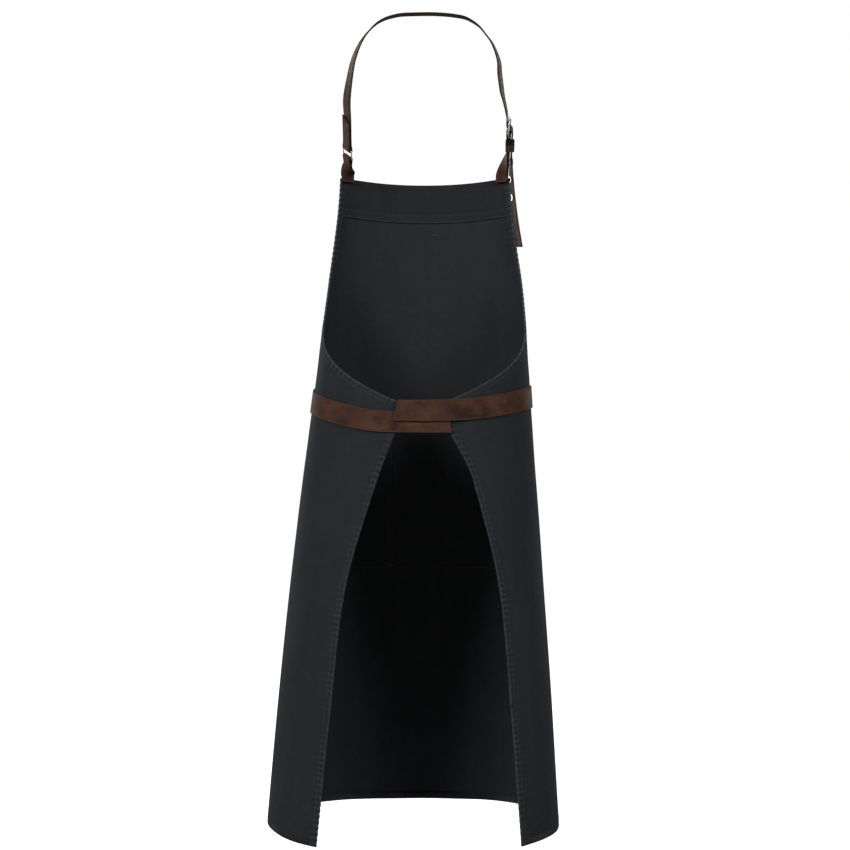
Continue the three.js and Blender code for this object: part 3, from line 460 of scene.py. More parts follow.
class Look:
    """A node material built line by line around one Principled shader."""

    def __init__(self, name):
        self.material = bpy.data.materials.new(name)
        self.material.use_nodes = True
        self.tree = self.material.node_tree
        self.shader = self.tree.nodes["Principled BSDF"]

    def node(self, kind, inputs=(), **settings):
        made = self.tree.nodes.new("ShaderNode" + kind)
        for key, value in settings.items():
            setattr(made, key, value)
        for key, value in dict(inputs).items():
            if isinstance(value, bpy.types.NodeSocket):
                self.tree.links.new(value, made.inputs[key])
            else:
                made.inputs[key].default_value = value
        return made

    def set(self, name, value):
        if isinstance(value, bpy.types.NodeSocket):
            self.tree.links.new(value, self.shader.inputs[name])
        else:
            self.shader.inputs[name].default_value = value

    def attribute(self, name):
        return self.node("Attribute", attribute_name=name).outputs["Fac"]

    def millimetres(self, name):
        """A place on the flat piece, kept in metres as an attribute."""
        place = self.node("Attribute", attribute_name=name).outputs["Vector"]
        return self.scaled(place, (1000, 1000, 1000))

    def scaled(self, vector, scale):
        return self.node("Mapping", {"Vector": vector, "Scale": scale}).outputs[0]

    def noise(self, vector, scale, detail=3, rough=0.5):
        inputs = {"Vector": vector, "Scale": scale, "Detail": detail, "Roughness": rough}
        return self.node("TexNoise", inputs).outputs["Fac"]

    def math(self, operation, a, b):
        return self.node("Math", {0: a, 1: b}, operation=operation).outputs[0]

    def weighted(self, *pairs):
        """The sum of (value, weight) pairs."""
        parts = [self.math("MULTIPLY", value, weight) for value, weight in pairs]
        total = parts[0]
        for part in parts[1:]:
            total = self.math("ADD", total, part)
        return total

    def map(self, value, low, high, to_low=0.0, to_high=1.0):
        inputs = {"Value": value, "From Min": low, "From Max": high,
                  "To Min": to_low, "To Max": to_high}
        return self.node("MapRange", inputs).outputs[0]

    def mix(self, factor, a, b):
        return self.node("Mix", {0: factor, 6: a, 7: b}, data_type="RGBA").outputs[2]

    def bump(self, layers):
        """Stacks (height, distance in metres) layers into the shader's normal."""
        normal = None
        for height, distance in layers:
            inputs = {"Height": height, "Distance": distance, "Strength": 1.0}
            if normal is not None:
                inputs["Normal"] = normal
            normal = self.node("Bump", inputs).outputs[0]
        self.set("Normal", normal)


def twill_look(name, dark, light):
    """Charcoal cotton twill: diagonal ribs, slubs, soft mottling, hems rubbed paler, painted shade
    in the sewing's troughs.
    """
    look = Look(name)
    mm = look.millimetres("cloth")
    ribs = look.node("TexWave", {"Vector": mm, "Scale": 0.42, "Distortion": 0.7, "Detail": 1.0},
                     wave_type="BANDS", bands_direction="DIAGONAL").outputs["Fac"]
    slubs = look.noise(look.scaled(mm, (1.9, 0.3, 1)), 1.0, 2)
    fluff = look.noise(mm, 0.8, 5, 0.75)
    clouds = look.noise(look.scaled(mm, (1, 0.6, 1)), 0.018, 3, 0.6)
    bands = look.noise(look.scaled(mm, (0.05, 0.0035, 1)), 1.0, 3, 0.6)
    patches = look.noise(mm, 0.10, 5, 0.7)
    tone = look.weighted((clouds, 0.35), (patches, 0.35), (bands, 0.3))
    colour = look.mix(look.map(tone, 0.38, 0.62), dark, light)
    grain = look.weighted((ribs, 0.3), (slubs, 0.4), (fluff, 0.4))
    colour = look.mix(look.map(grain, 0.36, 0.78, 0.0, 0.75), colour, TWILL_FIBRES)
    edge = look.attribute("edge")
    crest = look.attribute("crest")
    raised = look.map(crest, 0.05, 0.9, 0.0, 0.38)
    # painted shade: the troughs of the sewing's waves are darkened
    painted_trough_shade = look.map(crest, -0.05, -0.9, 0.0, 0.3)
    rim = look.math("MULTIPLY", look.map(edge, 2.6, 0.0), look.map(patches, 0.35, 0.6, 0.25, 1.0))
    rubbed = look.math("MULTIPLY", look.math("ADD", raised, rim), 0.5)
    colour = look.mix(rubbed, colour, TWILL_RUBBED)
    colour = look.mix(painted_trough_shade, colour, TWILL_PAINTED_SHADE)
    look.set("Base Color", colour)
    look.set("Roughness", look.map(fluff, 0.3, 0.7, 0.84, 0.96))
    look.set("Specular IOR Level", 0.07)
    look.bump([(clouds, 0.0016), (patches, 0.0006), (slubs, 0.00012), (ribs, 0.0001),
               (fluff, 0.00012)])
    return look.material


def leather_look():
    """Oiled brown leather: cloudy colour, fine pores and creases, dark burnished edges."""
    look = Look("leather")
    mm = look.millimetres("leather")
    clouds = look.noise(mm, 0.03, 3, 0.55)
    stains = look.noise(look.scaled(mm, (0.6, 1, 1)), 0.16, 5, 0.7)
    cells = look.node("TexVoronoi", {"Vector": mm, "Scale": 1.5, "Randomness": 1.0},
                      feature="DISTANCE_TO_EDGE").outputs["Distance"]
    pores = look.noise(mm, 2.6, 4, 0.6)
    tone = look.weighted((clouds, 0.7), (stains, 0.3))
    colour = look.mix(look.map(tone, 0.38, 0.58), LEATHER_DARK, LEATHER_LIGHT)
    colour = look.mix(look.map(pores, 0.5, 0.72, 0.0, 0.55), colour, LEATHER_PORES)
    edge = look.attribute("edge")
    from_row = look.math("ABSOLUTE", look.math("SUBTRACT", edge, LEATHER_STITCH_INSET), 0)
    # darker in a band along the rows of stitches
    colour = look.mix(look.map(from_row, 1.0, 0.25, 0.0, 0.75), colour, LEATHER_STITCH_LINE_DARK)
    bevel = look.math("MULTIPLY", look.map(edge, 1.9, 1.2), look.map(stains, 0.35, 0.6, 0.3, 1.0))
    colour = look.mix(look.math("MULTIPLY", bevel, 0.5), colour, LEATHER_RUBBED)
    colour = look.mix(look.map(edge, 0.9, 0.3, 0.0, 0.9), colour, LEATHER_BURNISHED)
    look.set("Base Color", colour)
    look.set("Roughness", look.map(stains, 0.3, 0.7, 0.58, 0.78))
    look.set("Specular IOR Level", 0.12)
    look.bump([(clouds, 0.0006), (look.map(cells, 0.0, 0.22), 0.00012), (pores, 0.0001)])
    return look.material


def thread_look(name, colour, pale):
    """Twisted sewing thread."""
    look = Look(name)
    place = look.node("TexCoord").outputs["Object"]
    twist = look.noise(place, 2600, 2)
    worn = look.noise(place, 60, 3)
    paler = look.map(look.math("ADD", twist, worn), 0.8, 1.25)
    look.set("Base Color", look.mix(paler, colour, pale))
    look.set("Roughness", 0.78)
    look.set("Specular IOR Level", 0.3)
    look.bump([(twist, 0.00006)])
    return look.material


def steel_look():
    """Nickel-plated steel with fine rubbed scratches and duller patches."""
    look = Look("steel")
    place = look.node("TexCoord").outputs["Object"]
    scratches = look.noise(look.scaled(place, (900, 900, 5200)), 1.0, 4, 0.7)
    haze = look.noise(place, 190, 3)
    look.set("Base Color", look.mix(haze, STEEL_DULL, STEEL_BRIGHT))
    look.set("Metallic", 1.0)
    look.set("Roughness", look.map(haze, 0.3, 0.7, 0.2, 0.38))
    look.bump([(scratches, 0.00004)])
    return look.material


twill = twill_look("twill", TWILL_DARK, TWILL_LIGHT)
# the facing is the same twill made darker: painted shade at the top of the bib
facing_twill_painted_shade = twill_look("facing_twill_painted_shade", FACING_SHADED_DARK, FACING_SHADED_LIGHT)
leather = leather_look()
cloth_thread = thread_look("cloth_thread", *CLOTH_THREAD)
leather_thread = thread_look("leather_thread", *LEATHER_THREAD)
steel = steel_look()


# ---- the panel ----
def side_edge():
    """The panel's side edge, bib corner to hem: points, centre depths and length along."""
    u = np.linspace(0, 1, 2001)
    curve = armhole_point(u)
    reach = length_along(curve)
    at = np.linspace(0, reach[-1], int(reach[-1] / ROW_PITCH) + 1)
    share = np.interp(at, reach, u)
    hem_top = CLOTH_LENGTH - HEM - HEM_STEP
    rows = int((hem_top - WAIST_DEPTH) / ROW_PITCH)
    below = np.linspace(WAIST_DEPTH, hem_top, rows + 1)[1:]
    hem = CLOTH_LENGTH - np.array(HEM_OFFSETS[-2::-1])
    depths = np.concatenate([below, hem])
    skirt = np.stack([np.full(len(depths), float(HALF_CLOTH)), depths], axis=-1)
    points = np.concatenate([armhole_point(share), skirt])
    centres = np.concatenate([WAIST_DEPTH * share, depths])
    along = np.concatenate([at, reach[-1] + depths - WAIST_DEPTH])
    return points, centres, along, len(at) - 1


CORNER_FAN = 30  # the rows turn round the waist corner over this length either way


def mitred_normals(points, along, corner):
    """Inward directions across the hem, fanned round the waist corner, longer where slanted."""
    tangent = unit(np.gradient(points, axis=0))
    tangent[corner] = tangent[corner - 1]
    tangent[corner + 1:] = (0, 1)
    normal = np.stack([-tangent[:, 1], tangent[:, 0]], axis=-1)
    bisector = unit(normal[corner] + np.array([-1.0, 0.0]))
    share = np.clip(1 - np.abs(along - along[corner]) / CORNER_FAN, 0, 1)[:, None]
    fanned = unit(normal * (1 - share) + bisector * share)
    return fanned / np.sum(fanned * normal, axis=1, keepdims=True)


EDGE, CENTRES, ALONG, CORNER = side_edge()
ACROSS_HEM = mitred_normals(EDGE, ALONG, CORNER)


def beside_edge(offset):
    """The line that runs a distance inside the panel's side edge, as (s, depth)."""
    scallop = SCALLOP * pucker_wave(ALONG + 2) * max(0, 1 - offset / HEM)
    return EDGE + ACROSS_HEM * (offset + scallop + SCALLOP * (offset < HEM))[:, None]


def panel_grid():
    """s, depth, distance from the side edge and from the bottom edge, over rows x columns."""
    inner = beside_edge(HEM_OFFSETS[-1])
    t = np.linspace(0, 1, INNER_COLUMNS + 1)[None, :]
    s = t * inner[:, :1]
    depth = CENTRES[:, None] + (inner[:, 1:] - CENTRES[:, None]) * t**2
    from_side = HEM_OFFSETS[-1] + inner[:, :1] * (1 - t)
    for offset in HEM_OFFSETS[-2::-1]:
        line = beside_edge(offset)
        s = np.hstack([s, line[:, :1]])
        depth = np.hstack([depth, line[:, 1:]])
        from_side = np.hstack([from_side, np.full((len(line), 1), offset)])
    depth = mirrored(depth)
    return mirrored(s, -1), depth, mirrored(from_side), CLOTH_LENGTH - depth


def mirrored(half, sign=1):
    """Both halves of a grid, from the half on the wearer's left."""
    return np.hstack([sign * half[:, :0:-1], half])


def seam_waves(s, from_side, from_bottom):
    along = ALONG[:, None] + np.where(s < 0, RIGHT_WAVES, 0)
    return puckers(from_side, along) + puckers(from_bottom, s + BOTTOM_WAVES)


def add_cloth(name, node, place, faces, material, edge, shift=0.0, more=()):
    """A piece of cloth from its flat place, its outer and inner face and its edge distance."""
    points, faces = sheet_points(*faces)
    flat = np.stack(place, axis=-1).reshape(-1, 2) * MM + shift
    attributes = [("cloth", np.tile(flat, (2, 1))), ("edge", np.tile(edge.ravel(), 2)), *more]
    piece = mesh_object(name, points, faces, material, attributes=attributes)
    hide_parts(node)
    return piece


def add_panel():
    s, depth, from_side, from_bottom = panel_grid()
    edge = np.minimum(from_side, from_bottom)
    waves = seam_waves(s, from_side, from_bottom)
    fold = folds(s, depth) + waves
    hem = HEM_FOLD * (1 - smoothstep(edge, HEM, HEM + HEM_STEP))
    thinner = 0.45 * (1 - smoothstep(edge, 0, 1.2))
    outer = on_cloth(s, depth, fold + CLOTH / 2 - thinner)
    inner = on_cloth(s, depth, fold - CLOTH / 2 - hem + thinner)
    crest = waves.ravel() / PUCKER
    return add_cloth("panel_cloth", "apron_panel", (s, depth), (outer, inner), twill, edge,
                     more=[("crest", np.concatenate([crest, -crest]))])


# ---- the facing inside the bib ----
FACING_INSET = HEM - 2.2  # its sides run in under the armhole hems
FACING_OFF = -(CLOTH / 2 + GAP + FACING / 2)
FACING_ROW = 11.5  # from its lower edge to the lower row of stitches


def facing_grid(downs, columns):
    """(s, depth) of rows at distances down the facing, straightening from the bib's top curve."""
    t = np.linspace(-1, 1, columns + 1)[None, :]
    edge = downs - BIB_CORNER_RISE
    half = half_width_at(edge) - FACING_INSET
    s = t * half[:, None]
    depth = downs[:, None] + (edge - downs)[:, None] * t**2
    return s, depth


def facing_middle(s, downs):
    """The facing stands off a little between its two stitch rows."""
    loose = smoothstep(downs, 6, 22) * (1 - smoothstep(downs, 40, 48))
    return FACING_OFF - 0.5 * loose[:, None] * (1 + np.sin(s / 17.0 + 0.8 * np.sin(s / 31.0)))


def add_facing():
    downs = np.concatenate([[0.6, 1.4], np.linspace(3, FACING_DEPTH - 2, 34),
                            [FACING_DEPTH - 0.8, FACING_DEPTH]])
    s, depth = facing_grid(downs, 150)
    from_low = np.broadcast_to((FACING_DEPTH - downs)[:, None], s.shape)
    from_top = np.broadcast_to(downs[:, None], s.shape)
    edge = np.minimum(from_low, from_top + 1.5)
    waves = 0.35 * bell(from_low, FACING_ROW, 3) * np.sin(s / 1.35 + np.sin(s / 9.0))
    thick = 0.5 * (1 - smoothstep(from_low, 9.0, 10.0))
    fold = folds(s, depth) + facing_middle(s, downs) + waves
    thinner = 0.4 * (1 - smoothstep(edge, 0, 1.1))
    outer = on_cloth(s, depth, fold + FACING / 2 - thinner)
    inner = on_cloth(s, depth, fold - FACING / 2 - thick + thinner)
    return add_cloth("facing_cloth", "bib_facing", (s, depth), (outer, inner), facing_twill_painted_shade,
                     np.maximum(edge, 0.4), shift=0.37)


# ---- the pocket on the front ----
POCKET_OFF = CLOTH / 2 + GAP + POCKET_CLOTH / 2
POCKET_HEIGHT = POCKET_BOTTOM - POCKET_TOP
POCKET_ROWS = (2.6, 8.2)  # insets of the two rows of stitches round it
DIVIDER_ROWS = (POCKET_DIVIDER - 2.8, POCKET_DIVIDER + 2.8)
MOUTH_HEM = 18.5  # width of the folded hem at its mouth
MOUTH_ROWS = (15.5, 17.5)


def pocket_bulge(s, down):
    """How far each of the pocket's two parts stands off the panel, most at its mouth."""
    left = s < POCKET_DIVIDER
    start = np.where(left, -POCKET_HALF, POCKET_DIVIDER)
    end = np.where(left, POCKET_DIVIDER, POCKET_HALF)
    across = np.sin(math.pi * np.clip((s - start) / (end - start), 0, 1))
    return POCKET_BULGE * across * np.maximum(0, 1 - down) ** 0.8


def pocket_point(s, down, extra=0.0):
    """Points at s and a share of the way down the pocket."""
    depth = POCKET_TOP + POCKET_HEIGHT * down
    fold = folds(s, depth) + pocket_bulge(s, down)
    return on_cloth(s, depth, POCKET_OFF + fold + extra)


def add_pocket():
    rim = np.array([0, 0.8, 2])
    drop = np.concatenate([rim, [4], np.linspace(7, 17, 6), [MOUTH_HEM, MOUTH_HEM + 0.7],
                           np.linspace(22, POCKET_HEIGHT - 4, 60), POCKET_HEIGHT - rim[::-1]])
    inner = np.linspace(-POCKET_HALF + 4, POCKET_HALF - 4, 120)
    across = np.concatenate([rim - POCKET_HALF, inner, POCKET_HALF - rim[::-1]])
    s, drop = np.meshgrid(across, drop)
    down = drop / POCKET_HEIGHT
    edge = np.minimum(POCKET_HALF - np.abs(s), np.minimum(drop, POCKET_HEIGHT - drop))
    waves = 0.3 * smoothstep(9 - edge, 0, 4) * np.sin((s + drop) / 1.3)
    thinner = 0.4 * (1 - smoothstep(edge, 0, 1.2))
    mouth = 0.9 * (1 - smoothstep(drop, MOUTH_HEM, MOUTH_HEM + 0.7)) * (edge > 3)
    outer = pocket_point(s, down, POCKET_CLOTH / 2 + waves - thinner)
    inner = pocket_point(s, down, -POCKET_CLOTH / 2 + 0.5 * waves + thinner - mouth)
    return add_cloth("pocket_cloth", "front_pocket", (s, drop), (outer, inner), twill, edge,
                     shift=0.71)


# ---- stitching on the cloth ----
def seam(s, depth, outside, face):
    """A line of stitches on the cloth: points and the direction that its face looks in."""
    line = on_cloth(s, depth, folds(s, depth) + outside)
    normal = unit(on_cloth(s, depth, 1.0) - on_cloth(s, depth, 0.0)) * face
    return line, normal


def hem_seams():
    side = beside_edge(STITCH_ROW)
    bottom = CLOTH_LENGTH - STITCH_ROW
    keep = (side[:, 1] > 2) & (side[:, 1] < bottom)
    side, along = side[keep], ALONG[keep]
    across = np.linspace(-HALF_CLOTH + STITCH_ROW, HALF_CLOTH - STITCH_ROW, 800)
    runs = []
    for face, out in ((1, CLOTH / 2), (-1, -CLOTH / 2 - HEM_FOLD)):
        for sign in (-1, 1):
            wave = puckers(STITCH_ROW, along + (RIGHT_WAVES if sign < 0 else 0))
            runs.append(seam(sign * side[:, 0], side[:, 1], out + wave, face))
        wave = puckers(STITCH_ROW, across + BOTTOM_WAVES)
        runs.append(seam(across, bottom, out + wave, face))
    return runs


def facing_seams():
    runs = []
    for down, extra in ((4.0, 0.0), (FACING_DEPTH - FACING_ROW, 0.1)):
        edge = down - BIB_CORNER_RISE
        half = half_width_at(edge) - HEM
        t = np.linspace(-1, 1, 300)
        depth = down + (edge - down) * t**2
        runs.append(seam(t * half, depth, FACING_OFF - FACING / 2 - extra, -1))
        runs.append(seam(t * half, depth, CLOTH / 2, 1))
    return runs


def pocket_seams():
    """Double rows round the pocket, on its face, and the rows that show inside the apron."""
    runs = []
    for inset in POCKET_ROWS:
        for s in (-POCKET_HALF + inset, POCKET_HALF - inset):
            runs.append(pocket_seam(s, pocket_downs(inset)))
        runs.append(pocket_seam(pocket_across(inset), 1 - inset / POCKET_HEIGHT))
    outer_row = POCKET_ROWS[0]
    for s in DIVIDER_ROWS:
        runs.append(pocket_seam(s, pocket_downs(outer_row)))
        depth = np.linspace(POCKET_TOP, POCKET_BOTTOM - 3, 240)
        runs.append(seam(s, depth, -CLOTH / 2, -1))
    across = pocket_across(outer_row)
    runs.append(seam(across, POCKET_BOTTOM - outer_row, -CLOTH / 2, -1))
    for drop in MOUTH_ROWS:
        runs.append(pocket_seam(across, drop / POCKET_HEIGHT))
    return runs


def pocket_downs(inset):
    return np.linspace(0.006, 1 - inset / POCKET_HEIGHT, 240)


def pocket_across(inset):
    return np.linspace(-POCKET_HALF + inset, POCKET_HALF - inset, 420)


def pocket_seam(s, down):
    normal = unit(pocket_point(s, down, 1.0) - pocket_point(s, down, 0.0))
    return pocket_point(s, down, POCKET_CLOTH / 2), normal


def bar_tacks():
    """Short dense bars of thread at the pocket's mouth, its divider's foot and inside the bib."""
    runs = []
    both_ways = np.array([-1.0, 1.0])
    for s in (-POCKET_HALF + 5, POCKET_DIVIDER, POCKET_HALF - 5):
        for k in range(20):
            down = (2 + TACK_PITCH * k) / POCKET_HEIGHT
            runs.append(pocket_seam(s + both_ways * TACK_HALF, down))
    for k in range(16):
        reach = POCKET_DIVIDER + both_ways * (0.5 + 0.26 * k)
        runs.append(seam(reach, POCKET_BOTTOM - 12 + TACK_PITCH * k, -CLOTH / 2, -1))
    for k in range(3):
        runs.append(seam(np.linspace(-19, -11, 6), 76 + 0.6 * k, -CLOTH / 2, -1))
    return runs


def add_cloth_stitching():
    rows = hem_seams() + facing_seams() + pocket_seams()
    sewn = stitches("cloth_stitching", rows, STITCH_PITCH, THREAD, cloth_thread)
    tacks = stitches("bar_tacks", bar_tacks(), 2 * TACK_HALF, TACK_THREAD, cloth_thread)
    return sewn, tacks


# ---- leather straps, as grids of stations ----
class Seat:
    """A place that hardware sits at: directions along the strap, across it and out of it."""

    def __init__(self, origin, up, across, out):
        self.origin = np.array(origin, float)
        self.up = up
        self.across = across
        self.out = out

    def at(self, across, along, out):
        """Points at distances, which may be arrays, from the seat's origin."""
        return (self.origin + np.multiply.outer(across, self.across)
                + np.multiply.outer(along, self.up) + np.multiply.outer(out, self.out))

    def matrix(self):
        """From (across, along, out) in millimetres to the part's frame in metres."""
        columns = np.column_stack([self.across, self.up, self.out, self.origin]) * MM
        return Matrix([*columns.tolist(), (0, 0, 0, 1)])


def neck_seat(side, origin, lean, twist):
    """A seat beside the neck, leaning back and twisted by angles in degrees."""
    lean, twist = math.radians(lean), math.radians(twist)
    up = np.array([0, math.sin(lean), math.cos(lean)])
    across = np.array([-side * math.sin(twist), math.cos(lean) * math.cos(twist),
                       -math.sin(lean) * math.cos(twist)])
    return Seat(origin, up, across, side * np.cross(across, up))


RING_SEAT = neck_seat(1, (118, -101, -189.6), 33, 32)
BUCKLE_SEAT = neck_seat(-1, (-127, -87, -161), 33, 3)
LAYER_HALF = (NECK_LEATHER + GAP) / 2
TAIL_OUT = LAYER_HALF + NECK_LEATHER + EYELET_FLANGE_OUT + GAP
HALF_TURN = np.radians(np.arange(90, -91, -22.5))


def turn_round(bar, reach):
    """(along, out) pairs: the outer layer, under the bar and back up the inner layer."""
    r = bar + GAP + NECK_LEATHER / 2
    turn = list(zip(-r * np.cos(HALF_TURN), r * np.sin(HALF_TURN)))
    return [(reach, LAYER_HALF), (4 * r, LAYER_HALF), (1.6 * r, 0.86 * r), *turn,
            (1.6 * r, -0.86 * r), (4 * r, -LAYER_HALF)]


def through_buckle(buckle):
    """(along, out) pairs: behind the far rim, up through the frame and over the hinge bar."""
    under = -(buckle["rim"] + 2 * GAP + buckle["strap"] / 2)
    over = buckle["bar"] + 3 * GAP + 1.5 * buckle["strap"]
    centre = buckle["rim"] + GAP + buckle["tongue"] / 2
    hole = buckle["hole"]
    return [(buckle["length"] + 7, under), (buckle["length"], under), (hole + 5.6, under + 0.25),
            (hole + 3.4, centre - 3.1), (hole, centre), (hole - 2.6, centre + 2.3),
            (hole - 5.2, over - 0.25), (0, over), (-6, over - 0.15)]


def worn(point, twist):
    """A control point on the neck: its place and the strap's direction across, twisted."""
    twist = math.radians(twist)
    return point, np.array([-np.sign(point[0]) * math.sin(twist), math.cos(twist), 0])


def seated(seat, pairs):
    return [(seat.at(0, along, out), seat.across) for along, out in pairs]


def spline(points, places):
    """A centripetal Catmull-Rom curve and its directions, at places counted in spans."""
    padded = np.vstack([2 * points[0] - points[1], points, 2 * points[-1] - points[-2]])
    i = np.minimum(places.astype(int), len(points) - 2)
    t = (places - i)[:, None]
    a, b, c, d = (padded[i + k] for k in range(4))
    before, here, after = (np.sqrt(np.linalg.norm(q - p, axis=1, keepdims=True))
                           for p, q in ((a, b), (b, c), (c, d)))
    leave = ((b - a) / before - (c - a) / (before + here)) * here + (c - b)
    arrive = (c - b) - ((d - b) / (here + after) - (d - c) / after) * here
    square = -3 * b + 3 * c - 2 * leave - arrive
    cube = 2 * b - 2 * c + leave + arrive
    return (b + leave * t + square * t**2 + cube * t**3,
            unit(leave + 2 * square * t + 3 * cube * t**2))


def places_between(points, spacing, least):
    """Places for a spline, counted in spans: at least so many to a span, a spacing apart."""
    gaps = np.linalg.norm(np.diff(points, axis=0), axis=1)
    counts = np.maximum(least, np.round(gaps / spacing)).astype(int)
    places = [i + np.arange(n) / n for i, n in enumerate(counts)]
    return np.append(np.concatenate(places), len(points) - 1.0)


def twisted_stations(controls, spacing=2.5):
    """Middles, directions across and faces of a strap along a curve through its controls."""
    points = np.array([point for point, _ in controls])
    across = np.array([direction for _, direction in controls])
    places = places_between(points, spacing, 2)
    middle, direction = spline(points, places)
    low = np.minimum(places.astype(int), len(points) - 2)
    mix = (places - low)[:, None]
    across = across[low] * (1 - mix) + across[low + 1] * mix
    across = unit(across - direction * np.sum(across * direction, axis=1, keepdims=True))
    return middle, across, unit(np.cross(across, direction))


NECK_CONTROLS = [
    # x, y, z and twist, from the ring on the left over the shoulders to the buckle
    (117.5, -58, -119, 30), (113.6, -41, -93.5, 26), (105, -24, -58, 20), (90, -12, -30, 14),
    (67, -4, -9, 8), (41, -1, -0.5, 4), (15, 0, 1.1, 0), (-18, 0, 1.1, 0), (-44, -2, -0.8, 3),
    (-61, -5, -4, 6), (-79, -10, -14, 9), (-89, -14, -24.5, 10), (-100, -21, -38.5, 12),
    (-109.5, -33, -60.5, 15), (-112, -44, -80, 18), (-115.5, -56, -101, 18),
    (-118.5, -63, -113, 14),
]


def neck_strap_stations():
    up = RING_SPACING / 2
    fold = [(up + along, out) for along, out in turn_round(RING_WIRE, FOLD_LENGTH)]
    controls = seated(RING_SEAT, fold + [(up + FOLD_LENGTH + 2, -LAYER_HALF)])
    controls += [worn(np.array([x, y, z]), twist) for x, y, z, twist in NECK_CONTROLS]
    through = through_buckle(NECK_BUCKLE) + [(-14, TAIL_OUT), (-30, TAIL_OUT)]
    controls += seated(BUCKLE_SEAT, through)
    for depth, twist in ((-4, -16), (TAIL_END_DEPTH / 2, -24), (TAIL_END_DEPTH, -26)):
        edge = on_cloth(-(half_width_at(depth) - 2), depth, TAIL_STAND_OFF)
        controls.append(worn(edge, twist))
    return twisted_stations(controls)


def tab_stations(side, seat, bar_along, bar, straight):
    """Doubled leather from inside the bib's corner, round a bar and back to the bib."""
    outside = -(CLOTH / 2 + GAP + FACING + 3 * GAP + NECK_LEATHER / 2)
    s = side * (BIB_HALF_TOP - NECK_WIDTH / 2 - 1)
    level = unit(on_body(s + side * 5, BIB_TOP_Z) - on_body(s - side * 5, BIB_TOP_Z))
    across = level * (np.sign(np.dot(level, seat.across)) or 1)
    low, high = -BIB_CORNER_RISE + TAB_SEWN, -BIB_CORNER_RISE - 3

    def on_bib(depth, layer):
        return on_cloth(s, depth, outside - layer * (NECK_LEATHER + GAP)), across

    loop = turn_round(bar, straight) + [(straight, -LAYER_HALF)]
    loop = seated(seat, [(bar_along - along, out) for along, out in loop])
    controls = [on_bib(low, 0), on_bib(high, 0), *loop, on_bib(high, 1), on_bib(low, 1)]
    return twisted_stations(controls, 1.6)


# ---- waist straps: stations straight up and down the body at arc length s ----
WAIST_BASE = CLOTH / 2 + 0.5 + WAIST_LEATHER / 2
WAIST_RAISE = KEEPER_LEATHER + KEEPER_EASE + GAP
WAIST_BAR = WAIST_BASE + WAIST_RAISE + WAIST_BUCKLE["bar"] + GAP + WAIST_LEATHER / 2
WAIST_TAIL_OUT = WAIST_BASE + WAIST_RAISE + 2 * (WAIST_LEATHER + GAP) + EYELET_FLANGE_OUT
BELT_Z = BIB_TOP_Z - WAIST_DEPTH
SEWN_AT = HALF_CLOTH + CORNER_DRAW - WAIST_SEWN
FRONT_Z = BELT_Z - 20
# heights of each strap's middle from the waist line, at arc lengths from the front centre
WRAP_S = [0, 150, 200, 235, 270, 310, 345, 375, 400, 470]
LEFT_HEIGHTS = [-20, -21.5, -25, -30, -37, -46, -54, -58.5, -60, -60]
RIGHT_HEIGHTS = [-20, -20, -20.5, -22.5, -27, -33.5, -39, -42, -43, -44]


def belt_stations(rows):
    """rows of (s, height, distance outside), one for each station."""
    s, z, outside = (np.array(column, float) for column in zip(*rows))
    low = on_body(s, z - WAIST_WIDTH / 2, outside)
    high = on_body(s, z + WAIST_WIDTH / 2, outside)
    middle = (low + high) / 2
    run = np.gradient(middle, axis=0)
    return middle, unit(high - low), unit(np.cross(high - low, run))


def belt_wrap(side, heights, lift, stop_at):
    """Rows of a strap from its sewn end, behind, round its own side to the front."""
    total = 2 * np.interp(BELT_Z - 50, LEVELS, HALF_LENGTHS)
    start = total - SEWN_AT
    own = np.linspace(start, stop_at, int((start - stop_at) / 2.5))
    far = total - own
    s = np.where(own < far, side * own, -side * far)
    z = BELT_Z + np.interp(np.abs(s), WRAP_S, heights)
    return list(zip(s, smoothed(z), WAIST_BASE + lift(own)))


def smoothed(values, reach=9):
    """Rounds the corners of a broken line without moving its ends."""
    window = np.ones(2 * reach + 1) / (2 * reach + 1)
    padded = np.concatenate([2 * values[0] - values[reach:0:-1], values,
                             2 * values[-1] - values[-2:-reach - 2:-1]])
    return np.convolve(padded, window, mode="valid")


def front_raise(own):
    """The straps stand off the panel in front, where the keeper passes under them."""
    return WAIST_RAISE * (1 - smoothstep(own, FRONT_RAISE_START - 40, FRONT_RAISE_START))


def eased(rows):
    """Fills in the stations of a short stretch by a smooth curve through (s, z, out) rows."""
    points = np.array(rows, float)
    return [tuple(row) for row in spline(points, places_between(points, 2.0, 1))[0]]


def left_strap_stations():
    wrap = belt_wrap(1, LEFT_HEIGHTS, front_raise, WAIST_BUCKLE_S + WAIST_BUCKLE["length"] + 14)
    run = through_buckle(WAIST_BUCKLE)
    last, over = run[-1]
    rows = [(WAIST_BUCKLE_S + along, FRONT_Z, WAIST_BAR + out) for along, out in run]
    for along in np.linspace(-last, WAIST_TAIL, 24)[1:]:
        settle = smoothstep(along, -last, 60 - last)
        out = (WAIST_BAR + over) * (1 - settle) + WAIST_TAIL_OUT * settle
        rows.append((WAIST_BUCKLE_S - along, FRONT_Z, out))
    return belt_stations(wrap[:-1] + eased([wrap[-1], *rows]))


FOLD_STEP = (66, 84)  # the right strap comes down off its turned-back end over this stretch


